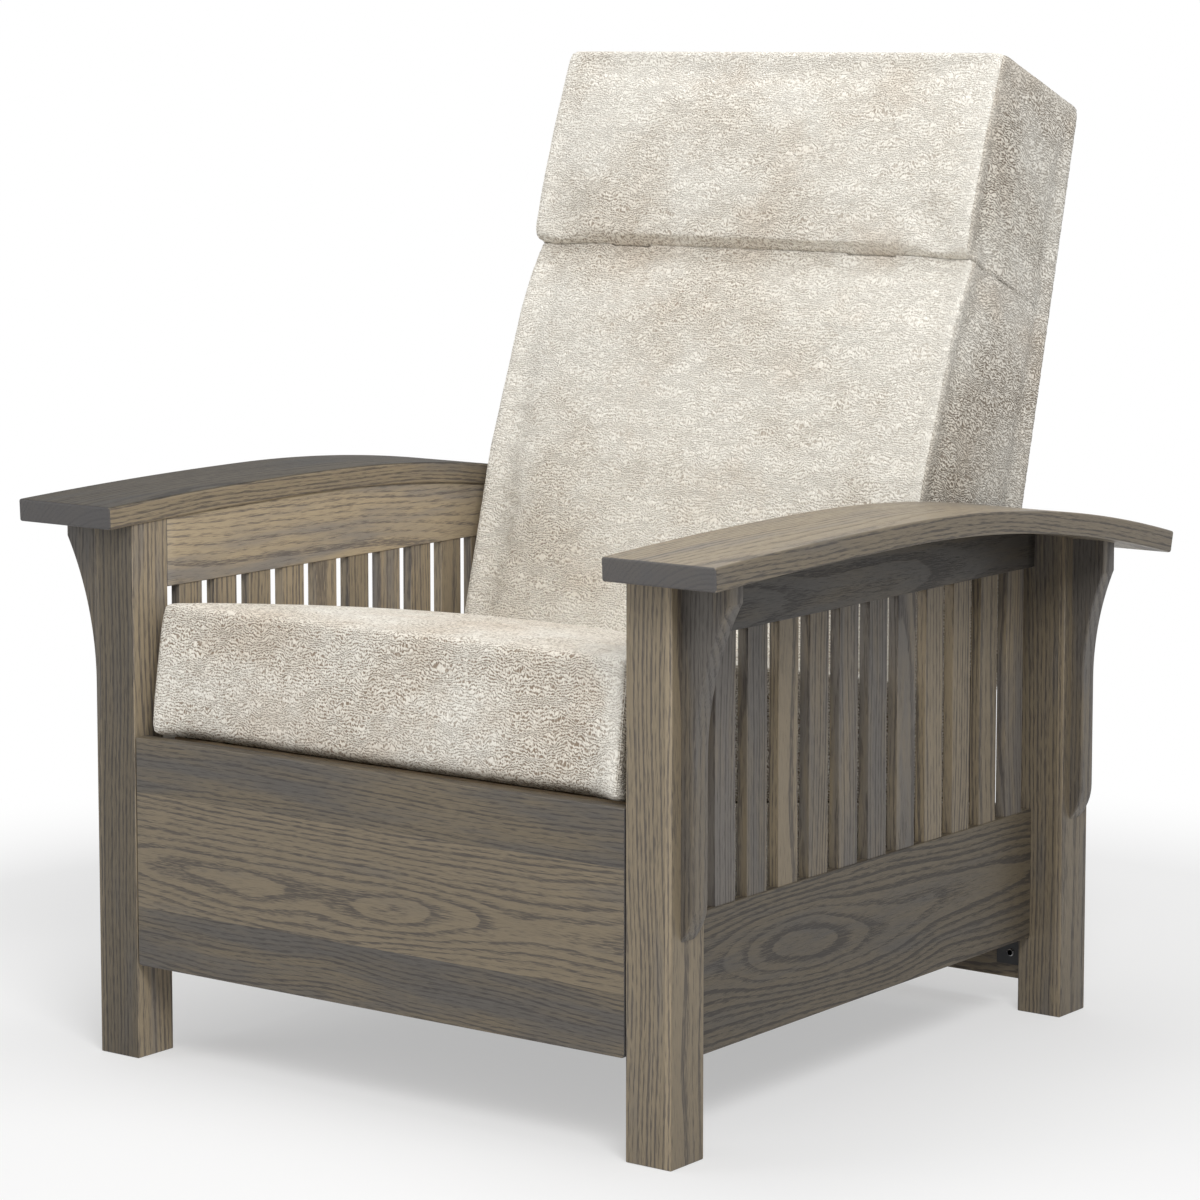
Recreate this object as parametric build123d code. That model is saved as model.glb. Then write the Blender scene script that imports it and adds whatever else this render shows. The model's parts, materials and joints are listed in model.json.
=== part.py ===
from build123d import *
from math import asin, cos, radians, sin, sqrt, tan
import os

# A bow-arm slat lounge chair with a reclining upholstered back and a footrest that pulls out behind
# its wooden front panel. Millimetres. While the pieces are drawn, x = 0 is the middle of the chair,
# y = 0 is the front of the front posts, y grows to the back, and z = 0 is the floor. At the end the
# whole chair is moved so that the origin lies under the middle of its overall box.

# Frame: the width follows from the seat frame, which has a small gap to the posts on each side
frame_depth = 834.5
post_size = 57.15
seat_side_gap = 4.85
post_edge_radius = 1.5

# Bow arms: one board each, bent on two arcs that meet level at the crest. The drops are from the
# crest to the front of the front posts and to the back of the rear posts
arm_width = 139.7
arm_thickness = 25.4
arm_inner_lap = 3.2
arm_front_overhang = 38.0
arm_rear_overhang = 55.5
arm_edge_chamfer = 1.8
bow_crest_share = 0.3954
bow_crest_height = 635.0
bow_front_drop = 7.1
bow_rear_drop = 54.8

# Side rails and slats
rail_thickness = 15.9
lower_rail_bottom = 90.0
lower_rail_height = 152.4
upper_rail_drop = 107.0
rail_edge_radius = 1.0
slat_count = 12
slat_width = 37.5
slat_thickness = 12.7
slat_edge_chamfer = 0.8
rail_tenon_length = 24.0
rail_tenon_thickness = 8.0
rail_tenon_shoulder = 14.0
slat_tenon_length = 9.0
slat_tenon_thickness = 7.0
slat_tenon_shoulder = 3.0
mortise_clearance = 0.2

# Corbels under the arms, on the outer faces of the posts
corbel_thickness = 25.4
corbel_front_reach = 58.0
corbel_rear_reach = 41.0
corbel_front_flat = 22.5
corbel_rear_flat = 34.0
corbel_foot_reach = 16.0
corbel_sweep_radius = 340.0
corbel_bottom = 233.0
corbel_toe_height = 40.0
corbel_edge_chamfer = 2.6

# Cross pieces between the two sides
cross_board_thickness = 19.05
stretcher_bottom = 110.0
stretcher_height = 60.0
rear_rail_bottom = 33.0
rear_rail_height = 90.0
rear_tenon_length = 20.0
rear_tenon_shoulder = 3.0
rear_tenon_height = 50.0
rear_tenon_rise = 8.0
corner_block_leg = 50.0
corner_block_height = 36.0
corner_block_rise = 12.0

# Front panel, which is the face of the footrest
panel_thickness = 19.05
panel_bottom = 107.5
panel_seat_gap = 3.7
panel_side_gap = 2.0
panel_edge_radius = 1.8
panel_corner_radius = 4.0
bumper_radius = 9.0
bumper_inset = 85.0
bumper_rise = 26.0
stretcher_gap = 7.0

# Seat frame: drawn level and tipped back about the front lower edge of the cushion
seat_tilt = 9.0
seat_setback = 7.0
seat_height = 369.5
seat_frame_half_width = 334.0
seat_frame_depth = 125.0
seat_panel_gap = 3.0
seat_tail_setback = 68.0
back_seat_length = 249.0
seat_side_thickness = 18.0
seat_rail_thickness = 25.0
seat_front_rail_width = 60.0
seat_cross_rail_width = 42.0
seat_tail_thickness = 19.0
seat_tail_height = 62.0
webbing_thickness = 1.6
webbing_width = 60.0
webbing_count = 7
webbing_lap = 8.0
dust_cover_thickness = 1.2
ledger_width = 25.0
ledger_height = 24.0
ledger_end_gap = 2.0

# Seat cushion
cushion_side_setback = 12.0
cushion_thickness = 135.0
cushion_crown = 20.0
cushion_side_crown = 5.0
cushion_front_bulge = 9.0
cushion_side_bulge = 4.0
cushion_draw_in = 4.0

# Steel straps that tie the seat frame to the rear rail
strap_thickness = 3.0
strap_width = 38.0
strap_foot_rise = 17.0
strap_lap = 16.0

# Footrest drawer
drawer_side_thickness = 12.7
drawer_side_height = 60.0
drawer_side_rise = 13.0
drawer_back = 466.0
footrest_board_thickness = 12.0
footrest_board_rise = 28.0
pad_top_drop = 32.0
pad_crown = 6.0
pad_side_crown = 2.0
pad_draw_in = 3.0
pad_back_gap = 14.0
cleat_size = 22.0
runner_wall = 1.2
runner_height = 46.0
runner_rise = 22.0
runner_space = 13.0
runner_lip = 10.0
runner_start = 42.0
runner_fixed_length = 460.0
runner_moving_length = 415.0
footrest_travel = 330.0

# Reclining back, which stands on the seat frame behind the cushion and hangs on the pivot
bracket_side_gap = 1.0
back_foot_rise = 25.0
back_foot_setback = 50.0
back_rear_tilt = 15.0
back_rear_length = 816.0
back_front_tilt = 21.0
back_top_depth = 188.0
back_shell_depth = 62.0
back_toe_height = 24.0
back_crown = 18.0
back_side_crown = 10.0
back_draw_in = 3.0
pillow_height = 240.0
pillow_proud = 38.0
pillow_tuck = 24.0
pillow_crown = 9.0
pillow_side_crown = 4.0
pivot_inset = 74.1
pivot_drop = 21.0
recline_angle = 35.0
bracket_thickness = 3.0
bracket_width = 56.0
bracket_length = 190.0
bracket_tail = 62.0
bracket_tail_width = 26.0
pin_radius = 5.0
pin_head_radius = 9.0
pin_head_thickness = 2.5
stop_pin_rise = 16.0
running_clearance = 0.05
side_clearance = 0.7

# Clearances
soft_clearance = 0.3
face_clearance = 0.3
drawer_clearance = 0.6
cut_overrun = 5.0

# Places worked out from the sizes above
post_inner = seat_frame_half_width + seat_side_gap
half_width = post_inner + post_size
rear_post_front = frame_depth - post_size
bow_crest_y = frame_depth * bow_crest_share
bow_rear_run = frame_depth - bow_crest_y
bow_front_radius = (bow_crest_y**2 + bow_front_drop**2) / (2 * bow_front_drop)
bow_rear_radius = (bow_rear_run**2 + bow_rear_drop**2) / (2 * bow_rear_drop)
upper_rail_bottom = bow_crest_height - upper_rail_drop
rail_outer = post_inner + rail_thickness
rail_middle = post_inner + rail_thickness / 2
lower_rail_top = lower_rail_bottom + lower_rail_height
arm_inner = post_inner - arm_inner_lap
arm_outer = arm_inner + arm_width
arm_front = -arm_front_overhang
arm_rear = frame_depth + arm_rear_overhang
seat_inner = seat_frame_half_width - seat_side_thickness
drawer_half_width = seat_inner - runner_space
drawer_inner = drawer_half_width - drawer_side_thickness
drawer_side_top = seat_frame_depth - drawer_side_rise - drawer_side_height
footrest_board_drop = seat_frame_depth - footrest_board_rise
pad_back = drawer_back - pad_back_gap
runner_top = seat_frame_depth - runner_rise - runner_height
panel_top = seat_height - panel_seat_gap
stretcher_front = panel_thickness + stretcher_gap
tip = radians(seat_tilt)
seat_frame_start = (panel_thickness + seat_panel_gap - seat_setback + seat_frame_depth * sin(tip)) / cos(tip)
seat_frame_end = (frame_depth - seat_tail_setback - seat_setback) / cos(tip)
cushion_length = seat_frame_end - back_seat_length
cushion_half_width = seat_frame_half_width - cushion_side_setback
back_half_width = seat_inner - bracket_side_gap - bracket_thickness - face_clearance


def span(x, y, z):
    """A block between three pairs of faces."""
    corner = Pos(x[0], y[0], z[0])
    return corner * Box(x[1] - x[0], y[1] - y[0], z[1] - z[0], align=(Align.MIN, Align.MIN, Align.MIN))


def side_slab(edges, x):
    """A side outline, drawn in y and z, given its thickness across the chair."""
    return extrude(Plane.YZ.offset(x[0]) * make_face(edges), x[1] - x[0])


def side_polygon(points, x):
    return side_slab([Line(a, b) for a, b in zip(points, points[1:] + points[:1])], x)


def mirrored(part):
    return mirror(part, about=Plane.YZ)


# The seat pieces are drawn level and tipped together
seat_up = (0, sin(tip), cos(tip))
seat_place = Plane(origin=(0, seat_setback, seat_height), x_dir=(1, 0, 0), z_dir=seat_up).location


def seat_point(along, up):
    """A point of the tipped seat, as y and z."""
    y = seat_setback + along * cos(tip) + up * sin(tip)
    z = seat_height - along * sin(tip) + up * cos(tip)
    return (y, z)


def seat_block(x, along, up):
    return seat_place * span(x, along, up)


pivot_y, pivot_height = seat_point(seat_frame_end - pivot_inset, -pivot_drop)
back_bottom = pivot_height + back_foot_rise
back_rear_foot = pivot_y + back_foot_setback


# The bow of the arm
def bow_radius(y):
    return bow_front_radius if y < bow_crest_y else bow_rear_radius


def bow_point(y, depth):
    """The point square under the place y of the arm's top face."""
    radius = bow_radius(y)
    turn = asin((y - bow_crest_y) / radius)
    reach = radius - depth
    return (bow_crest_y + reach * sin(turn), bow_crest_height - radius + reach * cos(turn))


def underside_height(y):
    """Height of the arm's underside straight above the place y."""
    radius = bow_radius(y)
    reach = radius - arm_thickness
    return bow_crest_height - radius + sqrt(reach**2 - (y - bow_crest_y) ** 2)


def underside_edges(y_start, y_end):
    """The arm's underside as arcs, one on each side of the crest."""
    crossing = y_start < bow_crest_y < y_end
    stations = [y_start, bow_crest_y, y_end] if crossing else [y_start, y_end]
    arcs = []
    for start, end in zip(stations, stations[1:]):
        middle = (start + end) / 2
        radius = bow_radius(middle)
        reach = radius - arm_thickness
        points = [
            (y, bow_crest_height - radius + sqrt(reach**2 - (y - bow_crest_y) ** 2))
            for y in (start, middle, end)
        ]
        arcs.append(ThreePointArc(*points))
    return arcs


def under_arm(y_start, y_end, bottom, x):
    """A board whose top edge follows the arm's underside."""
    arcs = underside_edges(y_start, y_end)
    low_start, low_end = (y_start, bottom), (y_end, bottom)
    edges = [Line(low_end, low_start), Line(low_start, arcs[0] @ 0), *arcs, Line(arcs[-1] @ 1, low_end)]
    return side_slab(edges, x)


def arm():
    """One bow arm: a bent board with square ends and eased edges."""
    arcs = []
    for depth in (0, arm_thickness):
        front = [bow_point(y, depth) for y in (arm_front, (arm_front + bow_crest_y) / 2)]
        crest = (bow_crest_y, bow_crest_height - depth)
        rear = [bow_point(y, depth) for y in ((bow_crest_y + arm_rear) / 2, arm_rear)]
        arcs.append([ThreePointArc(*front, crest), ThreePointArc(crest, *rear)])
    top, under = arcs
    ends = [Line(top[0] @ 0, under[0] @ 0), Line(top[1] @ 1, under[1] @ 1)]
    board = side_slab([*top, ends[1], *under, ends[0]], (arm_inner, arm_outer))
    beside_crest = (bow_crest_y - arm_thickness, bow_crest_y + arm_thickness)
    seams = board.edges().filter_by(Axis.X).filter_by_position(Axis.Y, *beside_crest)
    return chamfer(board.edges() - seams, arm_edge_chamfer)


# Mortises are cut with the tenon's own block, grown by the clearance
def grown(x, y, z):
    ease = mortise_clearance
    return span((x[0] - ease, x[1] + ease), (y[0] - ease, y[1] + ease), (z[0] - ease, z[1] + ease))


def rail_tenon_sizes(y_shoulder, direction, bottom, top):
    """Faces of a rail tenon that runs into a post from its shoulder."""
    y_end = y_shoulder + direction * rail_tenon_length
    x = (rail_middle - rail_tenon_thickness / 2, rail_middle + rail_tenon_thickness / 2)
    y = (min(y_shoulder, y_end), max(y_shoulder, y_end))
    return x, y, (bottom + rail_tenon_shoulder, top - rail_tenon_shoulder)


def post_rail_tenons(rear):
    """The two rail tenons that a post takes."""
    shoulder = rear_post_front if rear else post_size
    direction = 1 if rear else -1
    upper_top = underside_height(shoulder + direction * rail_tenon_length)
    lower = rail_tenon_sizes(shoulder, direction, lower_rail_bottom, lower_rail_top)
    upper = rail_tenon_sizes(shoulder, direction, upper_rail_bottom, upper_top)
    return [lower, upper]


def rear_tenon_sizes():
    """Faces of the rear rail's tenon in the right post."""
    middle = frame_depth - post_size / 2
    thickness = cross_board_thickness - 2 * rear_tenon_shoulder
    bottom = rear_rail_bottom + rear_tenon_rise
    x = (post_inner, post_inner + rear_tenon_length)
    return x, (middle - thickness / 2, middle + thickness / 2), (bottom, bottom + rear_tenon_height)


def post(rear):
    y_start = rear_post_front if rear else 0
    blank = under_arm(y_start, y_start + post_size, 0, (post_inner, half_width))
    solid = fillet(blank.edges().filter_by(Axis.Z), post_edge_radius)
    for sizes in post_rail_tenons(rear):
        solid -= grown(*sizes)
    if rear:
        solid -= grown(*rear_tenon_sizes())
    return solid


# Slats
slat_gap = (rear_post_front - post_size - slat_count * slat_width) / (slat_count + 1)
slat_pitch = slat_width + slat_gap


def slat_tenon_sizes(index, z):
    start = post_size + slat_gap + index * slat_pitch + slat_tenon_shoulder
    half = slat_tenon_thickness / 2
    return (rail_middle - half, rail_middle + half), (start, start + slat_width - 2 * slat_tenon_shoulder), z


def slat(index):
    """One slat with a stub tenon at each end."""
    start = post_size + slat_gap + index * slat_pitch
    x = (rail_middle - slat_thickness / 2, rail_middle + slat_thickness / 2)
    body = span(x, (start, start + slat_width), (lower_rail_top, upper_rail_bottom))
    body = chamfer(body.edges().filter_by(Axis.Z), slat_edge_chamfer)
    tenons = (lower_rail_top - slat_tenon_length, upper_rail_bottom + slat_tenon_length)
    return body + span(*slat_tenon_sizes(index, tenons))


def slats():
    return Compound([slat(index) for index in range(slat_count)])


def lower_rail():
    y = (post_size, rear_post_front)
    board = span((post_inner, rail_outer), y, (lower_rail_bottom, lower_rail_top))
    board = fillet(board.edges().filter_by(Axis.Y), rail_edge_radius)
    for shoulder, direction in ((post_size, -1), (rear_post_front, 1)):
        board += span(*rail_tenon_sizes(shoulder, direction, lower_rail_bottom, lower_rail_top))
    for index in range(slat_count):
        board -= grown(*slat_tenon_sizes(index, (lower_rail_top - slat_tenon_length, lower_rail_top)))
    return board


def upper_rail():
    board = under_arm(post_size, rear_post_front, upper_rail_bottom, (post_inner, rail_outer))
    lower_edges = board.edges().filter_by(Axis.Y).group_by(Axis.Z)[0]
    board = fillet(lower_edges, rail_edge_radius)
    for rear in (False, True):
        board += span(*post_rail_tenons(rear)[1])
    for index in range(slat_count):
        board -= grown(*slat_tenon_sizes(index, (upper_rail_bottom, upper_rail_bottom + slat_tenon_length)))
    return board


def corbel(rear):
    """A swept bracket: short flat under the arm, hollow sweep, straight leg and rounded toe."""
    reach = corbel_rear_reach if rear else corbel_front_reach
    flat = corbel_rear_flat if rear else corbel_front_flat
    middle = frame_depth - post_size / 2 if rear else post_size / 2
    y = (middle - corbel_thickness / 2, middle + corbel_thickness / 2)
    flat_end = underside_height(middle) - flat
    turn = radians(90) - asin(1 - (reach - corbel_foot_reach) / corbel_sweep_radius)
    sweep_end = flat_end - corbel_sweep_radius * sin(turn)
    foot_x, wall_x = half_width + corbel_foot_reach, half_width
    sweep_middle = (
        foot_x + corbel_sweep_radius * (1 - cos(turn / 2)),
        sweep_end + corbel_sweep_radius * sin(turn / 2),
    )
    toe_start = corbel_bottom + corbel_toe_height
    toe_radius = (corbel_foot_reach**2 + corbel_toe_height**2) / (2 * corbel_foot_reach)
    toe_turn = asin(corbel_toe_height / toe_radius) / 2
    toe_middle = (foot_x - toe_radius * (1 - cos(toe_turn)), toe_start - toe_radius * sin(toe_turn))
    top = bow_crest_height
    nose_x = half_width + reach
    outline = [
        Line((wall_x, top), (nose_x, top)),
        Line((nose_x, top), (nose_x, flat_end)),
        ThreePointArc((nose_x, flat_end), sweep_middle, (foot_x, sweep_end)),
        Line((foot_x, sweep_end), (foot_x, toe_start)),
        ThreePointArc((foot_x, toe_start), toe_middle, (wall_x, corbel_bottom)),
        Line((wall_x, corbel_bottom), (wall_x, top)),
    ]
    blank = extrude(Plane.XZ.offset(-y[1]) * make_face(outline), corbel_thickness)
    around = blank.edges() - blank.edges().filter_by(Axis.Y)
    outer = around - around.group_by(Axis.X)[0] - around.group_by(Axis.Z)[-1]
    solid = chamfer(outer, corbel_edge_chamfer)
    return solid & under_arm(y[0] - cut_overrun, y[1] + cut_overrun, 0, (wall_x, arm_outer))


def rear_rail():
    middle = frame_depth - post_size / 2
    y = (middle - cross_board_thickness / 2, middle + cross_board_thickness / 2)
    board = span((-post_inner, post_inner), y, (rear_rail_bottom, rear_rail_bottom + rear_rail_height))
    board = fillet(board.edges().filter_by(Axis.X), rail_edge_radius)
    tenon = span(*rear_tenon_sizes())
    return board + tenon + mirrored(tenon)


def front_stretcher():
    y = (stretcher_front, stretcher_front + cross_board_thickness)
    return span((-post_inner, post_inner), y, (stretcher_bottom, stretcher_bottom + stretcher_height))


def corner_block():
    """A glued triangular block behind the stretcher, against the lower side rail."""
    y = stretcher_front + cross_board_thickness
    bottom = stretcher_bottom + corner_block_rise
    corner = (post_inner, y)
    ahead, inward = (post_inner, y + corner_block_leg), (post_inner - corner_block_leg, y)
    outline = Polyline(corner, ahead, inward, corner)
    return extrude(Plane.XY.offset(bottom) * make_face(outline), corner_block_height)


def bumper():
    """A rubber buffer on the stretcher that the closed panel rests against."""
    x = drawer_half_width - bumper_inset
    height = stretcher_bottom + bumper_rise
    length = stretcher_gap - face_clearance
    return Pos(x, stretcher_front - length / 2, height) * Rot(90, 0, 0) * Cylinder(bumper_radius, length)


def ledger():
    """A strip on the inner face of the lower rail that the seat frame rests on."""
    start = (post_size + ledger_end_gap - seat_setback + seat_frame_depth * sin(tip)) / cos(tip)
    along = (start, seat_frame_end - strap_lap - ledger_end_gap)
    top = -seat_frame_depth
    return seat_block((post_inner - ledger_width, post_inner), along, (top - ledger_height, top))


# Seat frame
def seat_side():
    up = (-seat_frame_depth, -webbing_thickness)
    side = seat_block((seat_inner, seat_frame_half_width), (seat_frame_start, seat_frame_end), up)
    through = (seat_inner - cut_overrun, seat_frame_half_width + cut_overrun)
    for y, height in ((pivot_y, pivot_height), stop_pin_place()):
        side -= cross_pin(y, height, pin_radius, through)
    return side


def cross_pin(y, height, radius, x):
    """A round bar across the chair."""
    return Pos((x[0] + x[1]) / 2, y, height) * Rot(0, 90, 0) * Cylinder(radius, x[1] - x[0])


def stop_pin_place():
    """The stop stands behind the tail of the back's bracket."""
    y = pivot_y + bracket_tail_width / 2 + pin_radius + face_clearance
    return (y, pivot_height - bracket_tail + stop_pin_rise)


def seat_rail(along, drop):
    return seat_block((-seat_inner, seat_inner), along, (-drop, -webbing_thickness))


def seat_front_rail():
    return seat_rail((seat_frame_start, seat_frame_start + seat_front_rail_width), seat_rail_thickness)


def seat_cross_rail():
    return seat_rail((cushion_length - seat_cross_rail_width, cushion_length), seat_rail_thickness)


def seat_tail_rail():
    along = (seat_frame_end - seat_tail_thickness, seat_frame_end)
    bottom = -seat_frame_depth
    return seat_block((-seat_inner, seat_inner), along, (bottom, bottom + seat_tail_height))


def seat_webbing():
    """Straps stretched from the front rail to the cross rail."""
    pitch = (2 * seat_inner - webbing_width - 2 * webbing_lap) / (webbing_count - 1)
    first = -seat_inner + webbing_lap
    along = (seat_frame_start + webbing_lap, cushion_length - webbing_lap)
    straps = []
    for index in range(webbing_count):
        x = first + index * pitch
        straps.append(seat_block((x, x + webbing_width), along, (-webbing_thickness, 0)))
    return Compound(straps)


def dust_cover():
    bottom = -seat_frame_depth
    end = seat_frame_end - seat_tail_thickness
    up = (bottom, bottom + dust_cover_thickness)
    return seat_block((-seat_inner, seat_inner), (seat_frame_start, end), up)


def rear_strap():
    """A bent steel strap under the tail of the seat frame and down the rear rail."""
    front = seat_point(seat_frame_end - strap_lap, -seat_frame_depth)
    tail = seat_point(seat_frame_end, -seat_frame_depth)
    slope = (tail[1] - front[1]) / (tail[0] - front[0])
    wall = frame_depth - post_size / 2 - cross_board_thickness / 2
    bend = (wall, front[1] + slope * (wall - front[0]))
    foot = rear_rail_bottom + strap_foot_rise
    t = strap_thickness
    inner = (wall - t, bend[1] - slope * t - t)
    outline = [front, bend, (wall, foot), (wall - t, foot), inner, (front[0], front[1] - t)]
    return side_polygon(outline, (post_inner - strap_width - face_clearance, post_inner - face_clearance))


# Soft forms: three side sections lofted across the chair, then drawn in along their sides
def crowned(section, half, draw_in, outline_box):
    """Loft a section whose swell differs at the sides and the middle, and draw in its two sides."""
    faces = [Plane.YZ.offset(x) * make_face(section(swell)) for x, swell in ((-half, 0), (0, 1), (half, 0))]
    body = loft(faces)
    (y0, y1), (z0, z1) = outline_box
    middle = (y0 + y1) / 2
    right = ThreePointArc((half, y0), (half - draw_in, middle), (half, y1))
    left = ThreePointArc((-half, y1), (-half + draw_in, middle), (-half, y0))
    ends = [Line((half, y1), (-half, y1)), Line((-half, y0), (half, y0))]
    waist = extrude(Plane.XY.offset(z0) * make_face([right, ends[0], left, ends[1]]), z1 - z0)
    return body & waist


def bulged(start, end, swell):
    """An arc from start to end that swells to the left of its direction."""
    run, rise = end[0] - start[0], end[1] - start[1]
    length = sqrt(run**2 + rise**2)
    offset = (-swell * rise / length, swell * run / length)
    middle = ((start[0] + end[0]) / 2 + offset[0], (start[1] + end[1]) / 2 + offset[1])
    return ThreePointArc(start, middle, end)


def mix(side, middle, swell):
    return side + (middle - side) * swell


def seat_cushion():
    base, top = soft_clearance, soft_clearance + cushion_thickness

    def section(swell):
        crown = mix(cushion_side_crown, cushion_crown, swell)
        bulge = mix(cushion_side_bulge, cushion_front_bulge, swell)
        front_low, rear_low = (0, base), (cushion_length, base)
        front_top, rear_top = (0, top), (cushion_length, top)
        return [
            Line(front_low, rear_low),
            Line(rear_low, rear_top),
            bulged(rear_top, front_top, -crown),
            bulged(front_top, front_low, -bulge),
        ]

    box = ((-cushion_front_bulge, cushion_length), (0, top + cushion_crown))
    return seat_place * crowned(section, cushion_half_width, cushion_draw_in, box)


# Footrest drawer, drawn in the same tipped frame and cut off by the back of the panel
def behind_panel(part):
    reach = frame_depth
    return part & span((-half_width, half_width), (panel_thickness, reach), (0, bow_crest_height))


def front_panel():
    half = post_inner - panel_side_gap
    board = span((-half, half), (0, panel_thickness), (panel_bottom, panel_top))
    low_corners = board.edges().filter_by(Axis.Y).group_by(Axis.Z)[0]
    board = fillet(low_corners, panel_corner_radius)
    face_edges = board.edges().group_by(Axis.Y)[0]
    return fillet(face_edges, panel_edge_radius)


def drawer_side():
    up = (-drawer_side_top - drawer_side_height, -drawer_side_top)
    return behind_panel(seat_block((drawer_inner, drawer_half_width), (0, drawer_back), up))


def footrest_board():
    up = (-footrest_board_drop, -footrest_board_drop + footrest_board_thickness)
    return behind_panel(seat_block((-drawer_inner, drawer_inner), (0, drawer_back), up))


def footrest_pad():
    base = -footrest_board_drop + footrest_board_thickness + soft_clearance
    top = -pad_top_drop - pad_crown
    start = (panel_thickness + soft_clearance - seat_setback) / cos(tip)
    start += (footrest_board_drop - footrest_board_thickness) * tan(tip)
    half = drawer_inner - drawer_clearance

    def section(swell):
        crown = mix(pad_side_crown, pad_crown, swell)
        front_low, rear_low = (start, base), (pad_back, base)
        front_top, rear_top = (start, top), (pad_back, top)
        return [
            Line(front_low, rear_low),
            Line(rear_low, rear_top),
            bulged(rear_top, front_top, -crown),
            Line(front_top, front_low),
        ]

    box = ((start, pad_back), (base, top + pad_crown))
    return seat_place * crowned(section, half, pad_draw_in, box)


def panel_cleat():
    """A strip screwed to the back of the panel under the footrest board."""
    low = -footrest_board_drop
    along = (0, cleat_size + seat_frame_depth * tan(tip))
    return behind_panel(seat_block((-drawer_inner, drawer_inner), along, (low - cleat_size / 2, low)))


def runner(outer, inner, top, height, start, length):
    """A steel channel along the seat, with its web at outer and its lips towards inner."""
    low = top - height
    web = sorted((outer, outer + (runner_wall if inner > outer else -runner_wall)))
    lips = sorted((outer, inner))
    along = (start, start + length)
    channel = seat_block(web, along, (low, top))
    channel += seat_block(lips, along, (top - runner_wall, top))
    return channel + seat_block(lips, along, (low, low + runner_wall))


def runner_fixed():
    inner = seat_inner - runner_lip
    return runner(seat_inner, inner, -runner_top, runner_height, runner_start, runner_fixed_length)


def runner_moving():
    shrink = runner_wall + drawer_clearance
    outer = seat_inner - runner_wall - drawer_clearance
    top, height = -runner_top - shrink, runner_height - 2 * shrink
    return runner(drawer_half_width, outer, top, height, runner_start, runner_moving_length)


# Back
def back_points():
    """Corner points of the back's side outline, as y and z."""
    lean, front_lean = radians(back_rear_tilt), radians(back_front_tilt)
    rear_foot = (back_rear_foot, back_bottom)
    rear_top = (back_rear_foot + back_rear_length * sin(lean), back_bottom + back_rear_length * cos(lean))
    forward = (-cos(front_lean), sin(front_lean))
    down = (-sin(front_lean), -cos(front_lean))
    front_top = (rear_top[0] + back_top_depth * forward[0], rear_top[1] + back_top_depth * forward[1])
    pillow_low = (front_top[0] + pillow_height * down[0], front_top[1] + pillow_height * down[1])
    notch = (
        pillow_low[0] - pillow_proud * forward[0] + pillow_tuck * down[0],
        pillow_low[1] - pillow_proud * forward[1] + pillow_tuck * down[1],
    )
    shell_top = (rear_top[0] + back_shell_depth * forward[0], rear_top[1] + back_shell_depth * forward[1])
    return rear_foot, rear_top, shell_top, front_top, pillow_low, notch


def shell_front(z):
    """The front face of the back's shell, parallel to its rear face."""
    shell_top = back_points()[2]
    return shell_top[0] - (shell_top[1] - z) * tan(radians(back_rear_tilt))


def split_end(notch):
    """Where the crease under the pillow meets the shell."""
    slope = tan(radians(back_front_tilt))
    lean = tan(radians(back_rear_tilt))
    shell_top = back_points()[2]
    rise = (shell_top[0] - (shell_top[1] - notch[1]) * lean - notch[0]) * slope / (1 + slope * lean)
    z = notch[1] - rise
    return (shell_front(z), z)


def back_shell():
    """The covered wooden frame of the back."""
    rear_foot, rear_top, shell_top = back_points()[:3]
    outline = [rear_foot, rear_top, shell_top, (shell_front(back_bottom), back_bottom)]
    return side_polygon(outline, (-back_half_width, back_half_width))


def back_cushion():
    notch = back_points()[5]
    split = split_end(notch)
    crease = seat_point(cushion_length + soft_clearance, cushion_thickness)
    tuck = seat_point(cushion_length + soft_clearance, 0)
    toe = (tuck[0] + back_toe_height * tan(radians(back_front_tilt)), back_bottom)

    def section(swell):
        crown = mix(back_side_crown, back_crown, swell)
        rear_low = (shell_front(back_bottom) - soft_clearance, back_bottom)
        rear_top = (split[0] - soft_clearance, split[1] - soft_clearance)
        front_top = (notch[0], notch[1] - soft_clearance)
        return [
            Line(rear_low, rear_top),
            Line(rear_top, front_top),
            bulged(front_top, crease, -crown),
            Line(crease, tuck),
            Line(tuck, toe),
            Line(toe, rear_low),
        ]

    box = ((tuck[0] - back_crown, split[0]), (back_bottom, notch[1]))
    return crowned(section, back_half_width, back_draw_in, box)


def head_pillow():
    _, _, shell_top, front_top, pillow_low, notch = back_points()
    split = split_end(notch)

    def section(swell):
        crown = mix(pillow_side_crown, pillow_crown, swell)
        rear_top = (shell_top[0] - soft_clearance, shell_top[1])
        rear_low = (split[0] - soft_clearance, split[1])
        return [
            Line(rear_low, rear_top),
            Line(rear_top, front_top),
            bulged(front_top, pillow_low, -crown),
            bulged(pillow_low, notch, -pillow_side_crown),
            Line(notch, rear_low),
        ]

    y_range = (pillow_low[0] - pillow_crown, front_top[0] + back_top_depth)
    return crowned(section, back_half_width, back_draw_in, (y_range, (split[1], front_top[1] + pillow_crown)))


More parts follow.
